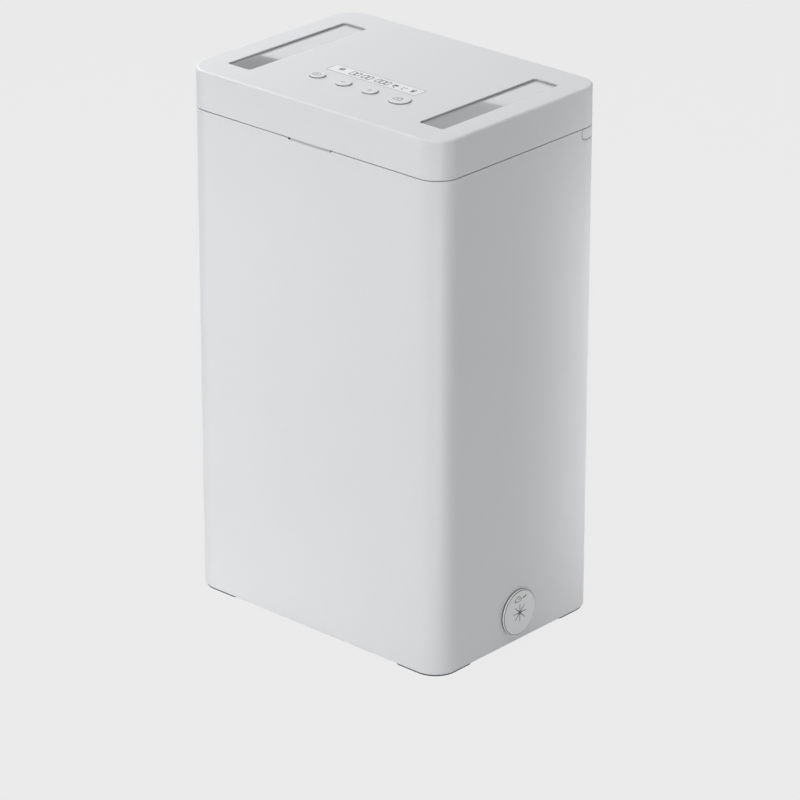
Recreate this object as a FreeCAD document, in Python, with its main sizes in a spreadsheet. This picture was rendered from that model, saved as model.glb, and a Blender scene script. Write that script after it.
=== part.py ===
import FreeCAD, Part
import Sketcher
import math
import os

from FreeCAD import Placement, Rotation, Vector

# Timed lock container: a tall moulded box whose flush lid carries a clock display, four
# buttons and a motor-driven bolt.  Millimetres, +Z up, front towards -Y, origin on the
# table under the middle of the body.

document = FreeCAD.newDocument("timed_lock_container")
sheet = document.addObject("Spreadsheet::Sheet", "Dimensions")

# Driving dimensions: alias, number in millimetres (or a count), meaning.
DIMENSIONS = (
    ("body_width", "210", "outside width of body and lid"),
    ("body_depth", "150", "outside depth of body and lid"),
    ("lid_top", "352", "height of the lid's top face above the table"),
    ("lid_height", "25.5", "lid's top above the middle of the groove under it"),
    ("seam_gap", "0.6", "height of that groove"),
    ("corner_radius", "16.5", "radius of the four upright corners"),
    ("wall", "2.5", "side walls of body and lid"),
    ("floor_thickness", "3", "floor of the body"),
    ("bottom_edge_radius", "1", "round along the foot of the body"),
    ("top_edge_radius", "1.5", "round along the top of the lid"),
    ("foot_height", "1", "how far the feet lift the body"),
    ("foot_recess", "1", "how deep the feet sit in the floor"),
    ("foot_width", "36", "foot pad along the front"),
    ("foot_depth", "33.5", "foot pad along the side"),
    ("foot_inset", "1", "foot pad in from the outside face"),
    ("foot_inner_radius", "4", "small corners of a foot pad"),
    ("lift_width", "35.3", "nail groove at the front of the seam"),
    ("lift_depth", "1.2", "depth of the nail groove"),
    ("frame_drop", "20.5", "underside of the rim frame below the groove"),
    ("frame_gap", "0.5", "rim frame to wall"),
    ("frame_thickness", "2.5", "wall of the rim frame"),
    ("frame_rise", "1.1", "rim frame above the lid's lower edge"),
    ("tab_thickness", "3", "screw tabs of the rim frame"),
    ("tab_radius", "6", "screw tabs of the rim frame"),
    ("boss_radius", "4", "screw bosses in the body's corners"),
    ("boss_height", "24", "screw bosses in the body's corners"),
    ("boss_inset", "11.5", "corner bosses in from the outside faces"),
    ("beam_thickness", "7.8", "rear beam of the rim frame"),
    ("beam_past_hinge", "17", "rear beam beyond the hinges"),
    ("ledge_inset", "35", "middle of a bumper ledge in from the side"),
    ("ledge_width", "14", "bumper ledges along the front"),
    ("ledge_depth", "5.5", "bumper ledges inwards"),
    ("ledge_height", "9", "bumper ledges downwards"),
    ("bumper_height", "2.4", "rubber bumpers"),
    ("running_gap", "0.3", "clearance between pieces that pass each other"),
    ("plate_corner", "2", "corners of brackets, plates and tabs"),
    ("small_corner", "1", "small corners and chamfers"),
    ("edge_margin", "1", "material left beyond a piece that sits on a block"),
    ("overlap", "2", "how far cuts and joined blocks run past a face"),
    ("band_drop", "7.2", "lower edge of the hinge band below the groove"),
    ("band_front", "55.5", "front end of the hinge band's legs"),
    ("band_leg_radius", "3", "lower front corner of the band's legs"),
    ("barrel_radius", "5", "rounded lower rear edge, centred on the hinge line"),
    ("hinge_inset", "50", "middle of a hinge in from the side"),
    ("eye_radius", "3.2", "eye of a hinge bracket"),
    ("eye_width", "12", "width of a hinge bracket"),
    ("eye_clearance", "0.5", "bracket to its pocket, each side"),
    ("pin_radius", "1.5", "hinge pins"),
    ("pin_length", "24", "hinge pins"),
    ("pin_running_fit", "0.06", "radial, pin in the bracket"),
    ("pin_press_fit", "0.02", "radial, pin in the band"),
    ("band_skin", "1.2", "wall left behind a bracket's eye"),
    ("hinge_block_inner", "13", "hinge block of the band, from its hinge inwards"),
    ("hinge_block_outer", "29", "hinge block of the band, from its hinge outwards"),
    ("middle_block", "24", "middle block of the band"),
    ("band_screw_reach", "21", "outer screw of the band from its hinge"),
    ("bracket_thickness", "2.5", "leg of a hinge bracket"),
    ("bracket_arm", "4.4", "arm of a hinge bracket"),
    ("bracket_screw_spread", "7", "screws of one bracket"),
    ("screw_radius", "1.25", "shank of every screw"),
    ("screw_hole_radius", "1.45", "clearance hole of every screw"),
    ("head_radius", "2.3", "head of every screw"),
    ("head_height", "1.6", "head of every screw"),
    ("thread_depth", "6", "depth of a screw's hole in its boss"),
    ("tip_room", "1", "empty end of a screw's hole"),
    ("band_screw_depth", "3", "seat of the band's screws above its lower edge"),
    ("plate_thickness", "3", "top plate of the lid"),
    ("lid_boss_radius", "3", "screw bosses of the lid"),
    ("slot_offset", "79.2", "middle of a window from the middle of the lid"),
    ("slot_width", "19.2", "window opening"),
    ("window_front_margin", "20.8", "window opening back from the front face"),
    ("window_back_margin", "22.8", "window opening ahead of the rear face"),
    ("slot_radius", "2", "corners of a window opening"),
    ("pane_margin", "3", "pane beyond its opening"),
    ("pane_thickness", "2", "acrylic panes"),
    ("tape_thickness", "0.2", "adhesive frames over the panes"),
    ("window_lip", "1", "top plate left over the edges of a pane"),
    ("pane_gap", "0.15", "pane to its rebate, each side"),
    ("lens_width", "73.2", "display window"),
    ("lens_depth", "11", "display window, front to back"),
    ("lens_inset", "59.4", "middle of the display window back from the front"),
    ("lens_thickness", "1.5", "display window"),
    ("lens_gap", "0.15", "display window to its pocket"),
    ("lens_ledge", "1.6", "seat under the display window"),
    ("lens_radius", "1", "corners of the display window"),
    ("button_inset", "41.3", "row of buttons back from the front"),
    ("button_first_x", "-31.7", "first small button"),
    ("button_pitch", "21.75", "small buttons from each other"),
    ("button_radius", "5", "small buttons"),
    ("start_button_x", "36", "large button"),
    ("start_button_radius", "6.9", "large button"),
    ("button_proud", "1", "buttons above the lid"),
    ("button_travel", "0.8", "stroke of a button"),
    ("button_flange", "1", "collar that holds a button in"),
    ("button_round", "0.4", "edge of a button"),
    ("liner_lift", "1.7", "underside of the lid liner above the groove"),
    ("liner_thickness", "2", "plate of the lid liner"),
    ("liner_margin", "6.5", "liner in from the outside faces"),
    ("liner_back_margin", "11.5", "liner in from the rear face"),
    ("liner_rim", "1.5", "rim and light wells of the liner"),
    ("liner_rim_height", "4", "rim of the lid liner above its underside"),
    ("liner_radius", "4", "corners of the liner"),
    ("liner_boss_inset", "12", "corner screws of the liner in from the side"),
    ("liner_boss_front_inset", "13.4", "its front screws back from the front"),
    ("liner_boss_back_inset", "16.4", "its rear screws ahead of the rear face"),
    ("board_drop", "10", "top face of the control board below the lid's top"),
    ("board_thickness", "1.6", "control board"),
    ("board_left", "-44", "control board"),
    ("board_right", "54", "control board"),
    ("board_inset", "32", "control board back from the front"),
    ("board_margin", "6.9", "control board behind the display's middle"),
    ("board_hole_inset", "3.7", "control board's screws from its edges"),
    ("switch_size", "6", "tactile switches"),
    ("switch_height", "3.5", "tactile switches"),
    ("plunger_radius", "1.7", "plunger of a tactile switch"),
    ("plunger_height", "0.8", "plunger of a tactile switch"),
    ("module_margin", "4.5", "display module in from the display window's ends"),
    ("cell_radius", "5.15", "battery cells"),
    ("cell_length", "43.7", "battery cells without the nub"),
    ("cell_nub_radius", "1.9", "nub of a battery cell"),
    ("cell_nub_length", "0.8", "nub of a battery cell"),
    ("cell_pitch", "11.2", "battery cells from each other"),
    ("cell_count", "4", "battery cells"),
    ("box_wall", "1.5", "battery box"),
    ("box_gap", "2.5", "battery space behind the control board"),
    ("box_space", "0.6", "play between the cells and their box"),
    ("contact_thickness", "0.4", "battery contacts"),
    ("contact_size", "7", "battery contacts"),
    ("stake_radius", "1.2", "heat stakes that hold the battery box"),
    ("stake_spread", "36", "heat stakes, front to back"),
    ("stake_reach", "4", "heat stakes from the battery box"),
    ("box_ear_half", "3", "half the width of the battery box's ears"),
    ("box_ear_thickness", "2", "ears of the battery box"),
    ("door_thickness", "1.2", "battery door"),
    ("door_tab_width", "12", "screw tab of the battery door"),
    ("door_tab_end", "3.5", "end of that tab from its screw"),
    ("door_thread", "4", "depth of the door screw's hole"),
    ("bolt_inset", "19", "middle of the lock bolt back from the front"),
    ("bolt_width", "6", "lock bolt"),
    ("bolt_height", "4", "lock bolt"),
    ("bolt_tail", "1", "lock bolt behind its rack"),
    ("bolt_travel", "8", "throw of the lock bolt"),
    ("bolt_clearance", "0.3", "bolt to its guides, each side"),
    ("bolt_lift", "0.2", "bolt above the bottom of its channel"),
    ("striker_thickness", "2.5", "steel striker"),
    ("striker_width", "12", "tongue of the striker, front to back"),
    ("striker_top", "4", "bridge over the striker's window"),
    ("striker_gap", "1", "retracted bolt to striker"),
    ("striker_clearance", "0.5", "bolt to the striker's window, each side"),
    ("striker_flange", "26", "width of the striker's flange"),
    ("flange_height", "12", "height of the striker's flange"),
    ("striker_lift", "2", "underside of the striker above the rim frame's"),
    ("striker_block", "5", "block of the rim frame behind the striker"),
    ("striker_front_room", "2.2", "liner slot ahead of the striker"),
    ("striker_back_room", "0.9", "liner slot and rail behind the striker"),
    ("striker_side_room", "1.2", "liner slot beside the striker"),
    ("guide_gap", "1.9", "bolt guide beside the striker"),
    ("frame_floor", "1", "floor under the bolt"),
    ("guide_wall", "2.7", "walls beside the bolt"),
    ("guide_bridge", "1.8", "bridges over the bolt"),
    ("bridge_length", "12", "left bridge over the bolt"),
    ("guide_overrun", "2", "guide behind the retracted bolt"),
    ("guide_end", "4", "guide beyond the thrown bolt"),
    ("rail_width", "3.2", "rail behind the striker"),
    ("left_ear_reach", "4", "left screw of the lock frame from the pinion"),
    ("right_ear_reach", "7.75", "right screw of the lock frame from the bolt's tip"),
    ("lock_ear_reach", "4", "screw ears of the lock frame"),
    ("lock_ear_half", "3.2", "half the width of those ears"),
    ("lock_ear_thickness", "2.2", "those ears"),
    ("cradle_wall", "2", "walls of the motor's cradle"),
    ("cradle_room", "1.5", "cradle behind the motor"),
    ("gear_module", "0.6", "rack and pinion"),
    ("pinion_teeth", "18", "pinion"),
    ("rack_teeth", "10", "rack"),
    ("rack_lead", "6", "rack teeth behind the pinion when the bolt is back"),
    ("pressure_angle", "20", "degrees, rack and pinion"),
    ("gear_backlash", "0.12", "play between rack and pinion, on each"),
    ("pinion_reach", "49.75", "pinion's axis from the tip of the retracted bolt"),
    ("pinion_width", "5", "pinion"),
    ("shaft_radius", "1.5", "motor shaft"),
    ("shaft_flat", "0.5", "depth of the shaft's flat"),
    ("shaft_fit", "0.05", "radial, shaft in the gearbox"),
    ("hub_fit", "0.02", "pinion on the shaft"),
    ("motor_width", "12", "gear motor"),
    ("motor_height", "10", "gear motor"),
    ("gearbox_length", "9", "gear motor"),
    ("can_length", "15", "gear motor"),
    ("motor_seat_gap", "0.25", "gear motor above its cradle"),
    ("strap_thickness", "1", "steel strap over the motor"),
    ("strap_width", "6", "steel strap over the motor"),
    ("grommet_z", "21", "height of the cable grommet"),
    ("grommet_radius", "15.2", "outer flange of the grommet"),
    ("grommet_proud", "2", "outer flange of the grommet"),
    ("grommet_neck", "11", "neck of the grommet"),
    ("grommet_inner_radius", "13.5", "inner flange of the grommet"),
    ("grommet_inner_flange", "1.5", "inner flange of the grommet"),
    ("grommet_membrane", "1.8", "slit membrane"),
    ("grommet_well", "8.5", "hollow behind the membrane"),
    ("grommet_round", "0.8", "edge of the outer flange"),
    ("grommet_relief", "0.5", "step under the edge of the outer flange"),
    ("grommet_hole_gap", "0.2", "neck in its hole"),
    ("slit_length", "6.4", "one ray of the star"),
    ("slit_width", "0.45", "one ray of the star"),
    ("slit_count", "8", "rays of the star"),
)

for row, (alias, number, meaning) in enumerate(DIMENSIONS, start=1):
    sheet.set("A%d" % row, meaning)
    sheet.set("B%d" % row, number)
    sheet.setAlias("B%d" % row, alias)
document.recompute()


class Size:
    """A number together with the sheet formula that gives it."""

    def __init__(self, number, formula):
        self.number = float(number)
        self.formula = formula

    def __float__(self):
        return self.number

    def __neg__(self):
        return Size(-self.number, "(0 - %s)" % self.formula)

    def __add__(self, other):
        other = as_size(other)
        return Size(self.number + other.number, "(%s + %s)" % (self.formula, other.formula))

    def __sub__(self, other):
        other = as_size(other)
        return Size(self.number - other.number, "(%s - %s)" % (self.formula, other.formula))

    def __mul__(self, other):
        other = as_size(other)
        return Size(self.number * other.number, "(%s * %s)" % (self.formula, other.formula))

    def __truediv__(self, other):
        other = as_size(other)
        return Size(self.number / other.number, "(%s / %s)" % (self.formula, other.formula))

    __radd__ = __add__
    __rmul__ = __mul__

    def __rsub__(self, other):
        return as_size(other) - self


def as_size(value):
    if isinstance(value, Size):
        return value
    return Size(value, repr(float(value)))


class SheetSizes:
    """Reads a dimension from the sheet by its alias."""

    def __getattr__(self, alias):
        return Size(sheet.get(alias), "Dimensions.%s" % alias)


d = SheetSizes()
PI = Size(math.pi, "pi")
ZERO = as_size(0)
DEDENDUM_SHARE = 1.25


# ---------------------------------------------------------------------------
# Helpers for sketches, bodies and primitives
# ---------------------------------------------------------------------------

def bind(feature, name, size):
    """Set a property and tie it to the sheet."""
    size = as_size(size)
    setattr(feature, name, size.number)
    feature.setExpression(name, size.formula)


def new_body(label):
    body = document.addObject("PartDesign::Body", label)
    body.Label = label
    return body


def origin_plane(body, role):
    for feature in body.Origin.OriginFeatures:
        if feature.Role == role:
            return feature
    raise ValueError("no plane %s" % role)


def new_sketch(body, role, height, shift_x=ZERO, shift_y=ZERO):
    """Sketch on an origin plane, lifted along its normal and shifted in it."""
    sketch = body.newObject("Sketcher::SketchObject", "%s_sketch" % body.Label)
    sketch.AttachmentSupport = (origin_plane(body, role), [""])
    sketch.MapMode = "FlatFace"
    sizes = (as_size(shift_x), as_size(shift_y), as_size(height))
    sketch.AttachmentOffset = Placement(Vector(*[s.number for s in sizes]), Rotation())
    for axis, size in zip("xyz", sizes):
        sketch.setExpression(".AttachmentOffset.Base.%s" % axis, size.formula)
    return sketch


def constrain(sketch, size, *arguments):
    size = as_size(size)
    index = sketch.addConstraint(Sketcher.Constraint(*arguments, size.number))
    sketch.setExpression("Constraints[%d]" % index, size.formula)


def hold_x(sketch, geometry, vertex, x):
    constrain(sketch, x, "DistanceX", -1, 1, geometry, vertex)


def hold_y(sketch, geometry, vertex, y):
    constrain(sketch, y, "DistanceY", -1, 1, geometry, vertex)


def circle(sketch, x, y, radius):
    x, y, radius = as_size(x), as_size(y), as_size(radius)
    ring = Part.Circle(Vector(x.number, y.number, 0), Vector(0, 0, 1), radius.number)
    index = sketch.addGeometry(ring)
    constrain(sketch, radius, "Radius", index)
    hold_x(sketch, index, 3, x)
    hold_y(sketch, index, 3, y)


def polygon(sketch, points):
    """Closed run of straight edges through the given points."""
    points = [(as_size(x), as_size(y)) for x, y in points]
    corners = [Vector(x.number, y.number, 0) for x, y in points]
    count = len(points)
    first = None
    for i in range(count):
        index = sketch.addGeometry(Part.LineSegment(corners[i], corners[(i + 1) % count]))
        first = index if first is None else first
    for i in range(count):
        following = first + (i + 1) % count
        sketch.addConstraint(Sketcher.Constraint("Coincident", first + i, 2, following, 1))
    for i, (x, y) in enumerate(points):
        hold_x(sketch, first + i, 1, x)
        hold_y(sketch, first + i, 1, y)


def outline(sketch, corners):
    """Closed run of level and upright edges; each corner is x, y and its radius."""
    corners = [(as_size(x), as_size(y), as_size(r)) for x, y, r in corners]
    places = [Vector(x.number, y.number, 0) for x, y, r in corners]
    count = len(corners)
    steps = [(places[(i + 1) % count] - places[i]).normalize() for i in range(count)]
    edges = []
    for i in range(count):
        start = places[i] + steps[i] * corners[i][2].number
        end = places[(i + 1) % count] - steps[i] * corners[(i + 1) % count][2].number
        edges.append(sketch.addGeometry(Part.LineSegment(start, end)))
    for i, (x, y, radius) in enumerate(corners):
        if abs(steps[i].x) > abs(steps[i].y):
            sketch.addConstraint(Sketcher.Constraint("Horizontal", edges[i]))
            hold_y(sketch, edges[i], 1, y)
        else:
            sketch.addConstraint(Sketcher.Constraint("Vertical", edges[i]))
            hold_x(sketch, edges[i], 1, x)
    for i, (x, y, radius) in enumerate(corners):
        before, after = edges[i - 1], edges[i]
        if radius.number <= 0:
            sketch.addConstraint(Sketcher.Constraint("Coincident", before, 2, after, 1))
            continue
        arrive, leave = steps[i - 1], steps[i]
        centre = places[i] + (leave - arrive) * radius.number
        left_turn = arrive.cross(leave).z > 0
        ring = Part.Circle(centre, Vector(0, 0, 1), radius.number)
        begin = math.atan2(-leave.y, -leave.x) if left_turn else math.atan2(arrive.y, arrive.x)
        arc = sketch.addGeometry(Part.ArcOfCircle(ring, begin, begin + math.pi / 2))
        enter, exit_ = (1, 2) if left_turn else (2, 1)
        sketch.addConstraint(Sketcher.Constraint("Tangent", before, 2, arc, enter))
        sketch.addConstraint(Sketcher.Constraint("Tangent", arc, exit_, after, 1))
        constrain(sketch, radius, "Radius", arc)


def rectangle(sketch, left, right, low, high, radius=ZERO):
    outline(sketch, [(left, low, radius), (right, low, radius),
                     (right, high, radius), (left, high, radius)])


def centred_rectangle(sketch, width, depth, radius=ZERO, x=ZERO, y=ZERO):
    rectangle(sketch, x - width / 2, x + width / 2, y - depth / 2, y + depth / 2, radius)


def pad(body, role, low, high, draw):
    """Add the drawn shape between two heights along the plane's normal."""
    low, high = as_size(low), as_size(high)
    sketch = new_sketch(body, role, low)
    draw(sketch)
    feature = body.newObject("PartDesign::Pad", "%s_pad" % body.Label)
    feature.Profile = sketch
    bind(feature, "Length", high - low)
    body.Tip = feature
    document.recompute()
    return feature


def pocket(body, role, low, high, draw, shift_x=ZERO, shift_y=ZERO):
    """Remove the drawn shape between two heights along the plane's normal."""
    low, high = as_size(low), as_size(high)
    before = body.Shape.Volume
    sketch = new_sketch(body, role, high, shift_x, shift_y)
    draw(sketch)
    feature = body.newObject("PartDesign::Pocket", "%s_pocket" % body.Label)
    feature.Profile = sketch
    bind(feature, "Length", high - low)
    body.Tip = feature
    document.recompute()
    if body.Shape.Volume >= before:
        raise ValueError("a pocket of %s cuts nothing" % body.Label)
    return feature


def fillet(body, radius, wanted):
    """Round the edges of the body's last feature that the test accepts."""
    base = body.Tip
    names = ["Edge%d" % (i + 1) for i, edge in enumerate(base.Shape.Edges) if wanted(edge)]
    feature = body.newObject("PartDesign::Fillet", "%s_fillet" % body.Label)
    feature.Base = (base, names)
    bind(feature, "Radius", radius)
    body.Tip = feature
    document.recompute()
    return feature


def at_height(level):
    """Edge test: the whole edge lies at one height."""
    level = float(level)
    tolerance = 0.001

    def test(edge):
        box = edge.BoundBox
        return abs(box.ZMin - level) < tolerance and abs(box.ZMax - level) < tolerance
    return test


def place(feature, base, rotation=Rotation()):
    base = [as_size(value) for value in base]
    feature.Placement = Placement(Vector(*[size.number for size in base]), rotation)
    for axis, size in zip("xyz", base):
        feature.setExpression(".Placement.Base.%s" % axis, size.formula)


def box(label, low, high):
    feature = document.addObject("Part::Box", label)
    for name, start, end in zip(("Length", "Width", "Height"), low, high):
        bind(feature, name, as_size(end) - start)
    place(feature, low)
    return feature


ALONG = {
    "up": (Rotation(), (0, 0, 1)),
    "down": (Rotation(Vector(1, 0, 0), 180), (0, 0, -1)),
    "back": (Rotation(Vector(1, 0, 0), -90), (0, 1, 0)),
    "front": (Rotation(Vector(1, 0, 0), 90), (0, -1, 0)),
    "right": (Rotation(Vector(0, 1, 0), 90), (1, 0, 0)),
}


def cylinder(label, base, direction, radius, length):
    feature = document.addObject("Part::Cylinder", label)
    bind(feature, "Radius", radius)
    bind(feature, "Height", length)
    place(feature, base, ALONG[direction][0])
    return feature


def fuse(label, shapes):
    feature = document.addObject("Part::MultiFuse", label)
    feature.Shapes = shapes
    feature.Refine = True
    return feature


def cut(label, base, tool):
    feature = document.addObject("Part::Cut", label)
    feature.Base = base
    feature.Tool = tool
    return feature


def common(label, first, second):
    feature = document.addObject("Part::Common", label)
    feature.Base = first
    feature.Tool = second
    return feature


def group(label, shapes):
    feature = document.addObject("Part::Compound", label)
    feature.Label = label
    feature.Links = shapes
    return feature


def screws(label, seats, direction, shank_length):
    """Pan-head screws in one group; each seat is the point under the head."""
    step = ALONG[direction][1]
    pieces = []
    for number, seat in enumerate(seats, start=1):
        name = "%s_%d" % (label, number)
        behind = [as_size(place_) - d.head_height * way for place_, way in zip(seat, step)]
        head = cylinder(name + "_head", behind, direction, d.head_radius, d.head_height)
        shank = cylinder(name + "_shank", seat, direction, d.screw_radius, shank_length)
        pieces.append(fuse(name, [head, shank]))
    return group(label, pieces)


# ---------------------------------------------------------------------------
# Levels and lines that several pieces share
# ---------------------------------------------------------------------------

seam_level = d.lid_top - d.lid_height
frame_bottom = seam_level - d.frame_drop
band_bottom = seam_level - d.band_drop
liner_level = seam_level + d.liner_lift
liner_rim_top = liner_level + d.liner_rim_height
board_top = d.lid_top - d.board_drop
striker_base = frame_bottom + d.striker_lift
body_top = seam_level - d.seam_gap / 2
lid_bottom = seam_level + d.seam_gap / 2
plate_underside = d.lid_top - d.plate_thickness
inner_radius = d.corner_radius - d.wall
inner_width = d.body_width - d.wall * 2
inner_depth = d.body_depth - d.wall * 2
side_x = d.body_width / 2
back_y = d.body_depth / 2
hinge_x = side_x - d.hinge_inset
hinge_y = back_y - d.barrel_radius
hinge_z = band_bottom + d.barrel_radius
recess_front = d.band_front - d.seam_gap
recess_bottom = band_bottom - d.seam_gap
frame_width = inner_width - d.frame_gap * 2
frame_depth = inner_depth - d.frame_gap * 2
frame_radius = inner_radius - d.frame_gap
frame_top = lid_bottom + d.frame_rise
beam_back = frame_depth / 2
beam_front = beam_back - d.beam_thickness
beam_top = recess_bottom - d.running_gap
beam_end = hinge_x + d.beam_past_hinge
ledge_x = side_x - d.ledge_inset
block_start = hinge_x - d.hinge_block_inner
block_end = hinge_x + d.hinge_block_outer
band_screw_x = hinge_x + d.band_screw_reach
boss_x = side_x - d.boss_inset
boss_y = back_y - d.boss_inset
band_screw_y = hinge_y
band_seat = band_bottom + d.band_screw_depth
liner_top = liner_level + d.liner_thickness
liner_width = d.body_width - d.liner_margin * 2
liner_front = d.liner_margin - back_y
liner_back = back_y - d.liner_back_margin
liner_boss_x = side_x - d.liner_boss_inset
liner_boss_front = d.liner_boss_front_inset - back_y
liner_boss_back = back_y - d.liner_boss_back_inset
slot_length = d.body_depth - d.window_front_margin - d.window_back_margin
slot_y = (d.window_front_margin - d.window_back_margin) / 2
lens_y = d.lens_inset - back_y
button_y = d.button_inset - back_y
board_front = d.board_inset - back_y
board_back = lens_y + d.board_margin
box_front = board_back + d.box_gap
bolt_y = d.bolt_inset - back_y
lip_underside = d.lid_top - d.window_lip
pane_top = lip_underside - d.tape_thickness
pane_bottom = pane_top - d.pane_thickness
bolt_front = bolt_y - d.bolt_width / 2
bolt_back = bolt_y + d.bolt_width / 2
guide_bottom = liner_top + d.running_gap
bolt_bottom = guide_bottom + d.frame_floor + d.bolt_lift
bolt_top = bolt_bottom + d.bolt_height
bolt_tip = (d.striker_thickness / 2 + d.striker_gap) * -1
addendum = d.gear_module
dedendum = d.gear_module * DEDENDUM_SHARE
pitch = PI * d.gear_module
pinion_x = bolt_tip - d.pinion_reach
bolt_left = pinion_x - pitch * d.rack_lead - d.bolt_tail
pitch_radius = d.gear_module * d.pinion_teeth / 2
pitch_line = bolt_top + dedendum
pinion_z = pitch_line + pitch_radius
motor_front = bolt_back + d.running_gap * 2
motor_bottom = pinion_z - d.motor_height / 2
cradle_top = motor_bottom - d.motor_seat_gap
striker_front = bolt_y - d.striker_width / 2
striker_back = bolt_y + d.striker_width / 2
striker_face = frame_depth / -2 + d.striker_block
button_top = d.lid_top + d.button_proud
plunger_top = board_top + d.switch_height + d.plunger_height
cap_bottom = plunger_top + d.button_travel + d.seam_gap / 4
small_button_xs = [d.button_first_x + d.button_pitch * i for i in range(3)]
buttons = (
    ("mode_button", small_button_xs[0], d.button_radius),
    ("minus_button", small_button_xs[1], d.button_radius),
    ("plus_button", small_button_xs[2], d.button_radius),
    ("start_button", d.start_button_x, d.start_button_radius),
)
SIDES = (("left", -1), ("right", 1))
QUARTERS = ((-1, -1), (1, -1), (1, 1), (-1, 1))


# ---------------------------------------------------------------------------
# Body of the container
# ---------------------------------------------------------------------------

def corner_pads(sketch, inset, width, depth, small):
    """Four pads in the corners, each with one large corner that follows the body's."""
    outer_x = side_x - inset
    outer_y = back_y - inset
    inner_x = outer_x - width
    inner_y = outer_y - depth
    large = d.corner_radius - inset
    for sx, sy in QUARTERS:
        outline(sketch, [(inner_x * sx, inner_y * sy, small), (outer_x * sx, inner_y * sy, small),
                         (outer_x * sx, outer_y * sy, large), (inner_x * sx, outer_y * sy, small)])


def foot_pads(sketch, gap):
    corner_pads(sketch, d.foot_inset - gap, d.foot_width + gap * 2, d.foot_depth + gap * 2,
                d.foot_inner_radius)


def make_body_shell():
    body = new_body("body_shell")
    floor_top = d.foot_height + d.floor_thickness
    pad(body, "XY_Plane", d.foot_height, body_top,
        lambda s: centred_rectangle(s, d.body_width, d.body_depth, d.corner_radius))
    fillet(body, d.bottom_edge_radius, at_height(d.foot_height))
    pocket(body, "XY_Plane", floor_top, body_top,
           lambda s: centred_rectangle(s, inner_width, inner_depth, inner_radius))

    def corner_circles(sketch, radius):
        for sx, sy in QUARTERS:
            circle(sketch, boss_x * sx, boss_y * sy, radius)
    boss_bottom = frame_bottom - d.boss_height
    post = d.boss_inset + d.boss_radius - d.wall / 2
    pad(body, "XY_Plane", boss_bottom, frame_bottom,
        lambda s: corner_pads(s, d.wall / 2, post, post, d.boss_radius))
    pocket(body, "XY_Plane", frame_bottom - d.thread_depth, frame_bottom,
           lambda s: corner_circles(s, d.screw_radius))

    # Recess that lets the lid's hinge band turn inside the body's outline.
    past_back = back_y + d.overlap
    past_top = body_top + d.overlap
    pocket(body, "YZ_Plane", side_x * -1 - d.overlap, side_x + d.overlap,
           lambda s: outline(s, [(recess_front, recess_bottom, d.band_leg_radius + d.seam_gap),
                                 (past_back, recess_bottom, 0), (past_back, past_top, 0),
                                 (recess_front, past_top, 0)]))

    # Hole for the cable grommet in the right wall.
    pocket(body, "YZ_Plane", side_x - d.wall - d.overlap, side_x + d.overlap,
           lambda s: circle(s, 0, d.grommet_z, d.grommet_neck + d.grommet_hole_gap))

    # Nail groove: a sloping cut below the front of the seam.
    front_y = back_y * -1
    pocket(body, "YZ_Plane", d.lift_width / -2, d.lift_width / 2,
           lambda s: polygon(s, [(front_y - d.lift_depth, body_top - d.lift_depth * 2),
                                 (front_y + d.lift_depth, body_top),
                                 (front_y + d.lift_depth, body_top + d.lift_depth),
                                 (front_y - d.lift_depth, body_top + d.lift_depth)]))
    pocket(body, "XY_Plane", d.foot_height - d.overlap, d.foot_height + d.foot_recess,
           lambda s: foot_pads(s, d.lens_gap))
    return body


def make_feet():
    body = new_body("feet")
    body.AllowCompound = True
    pad(body, "XY_Plane", 0, d.foot_height + d.foot_recess, lambda s: foot_pads(s, ZERO))
    return body


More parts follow.
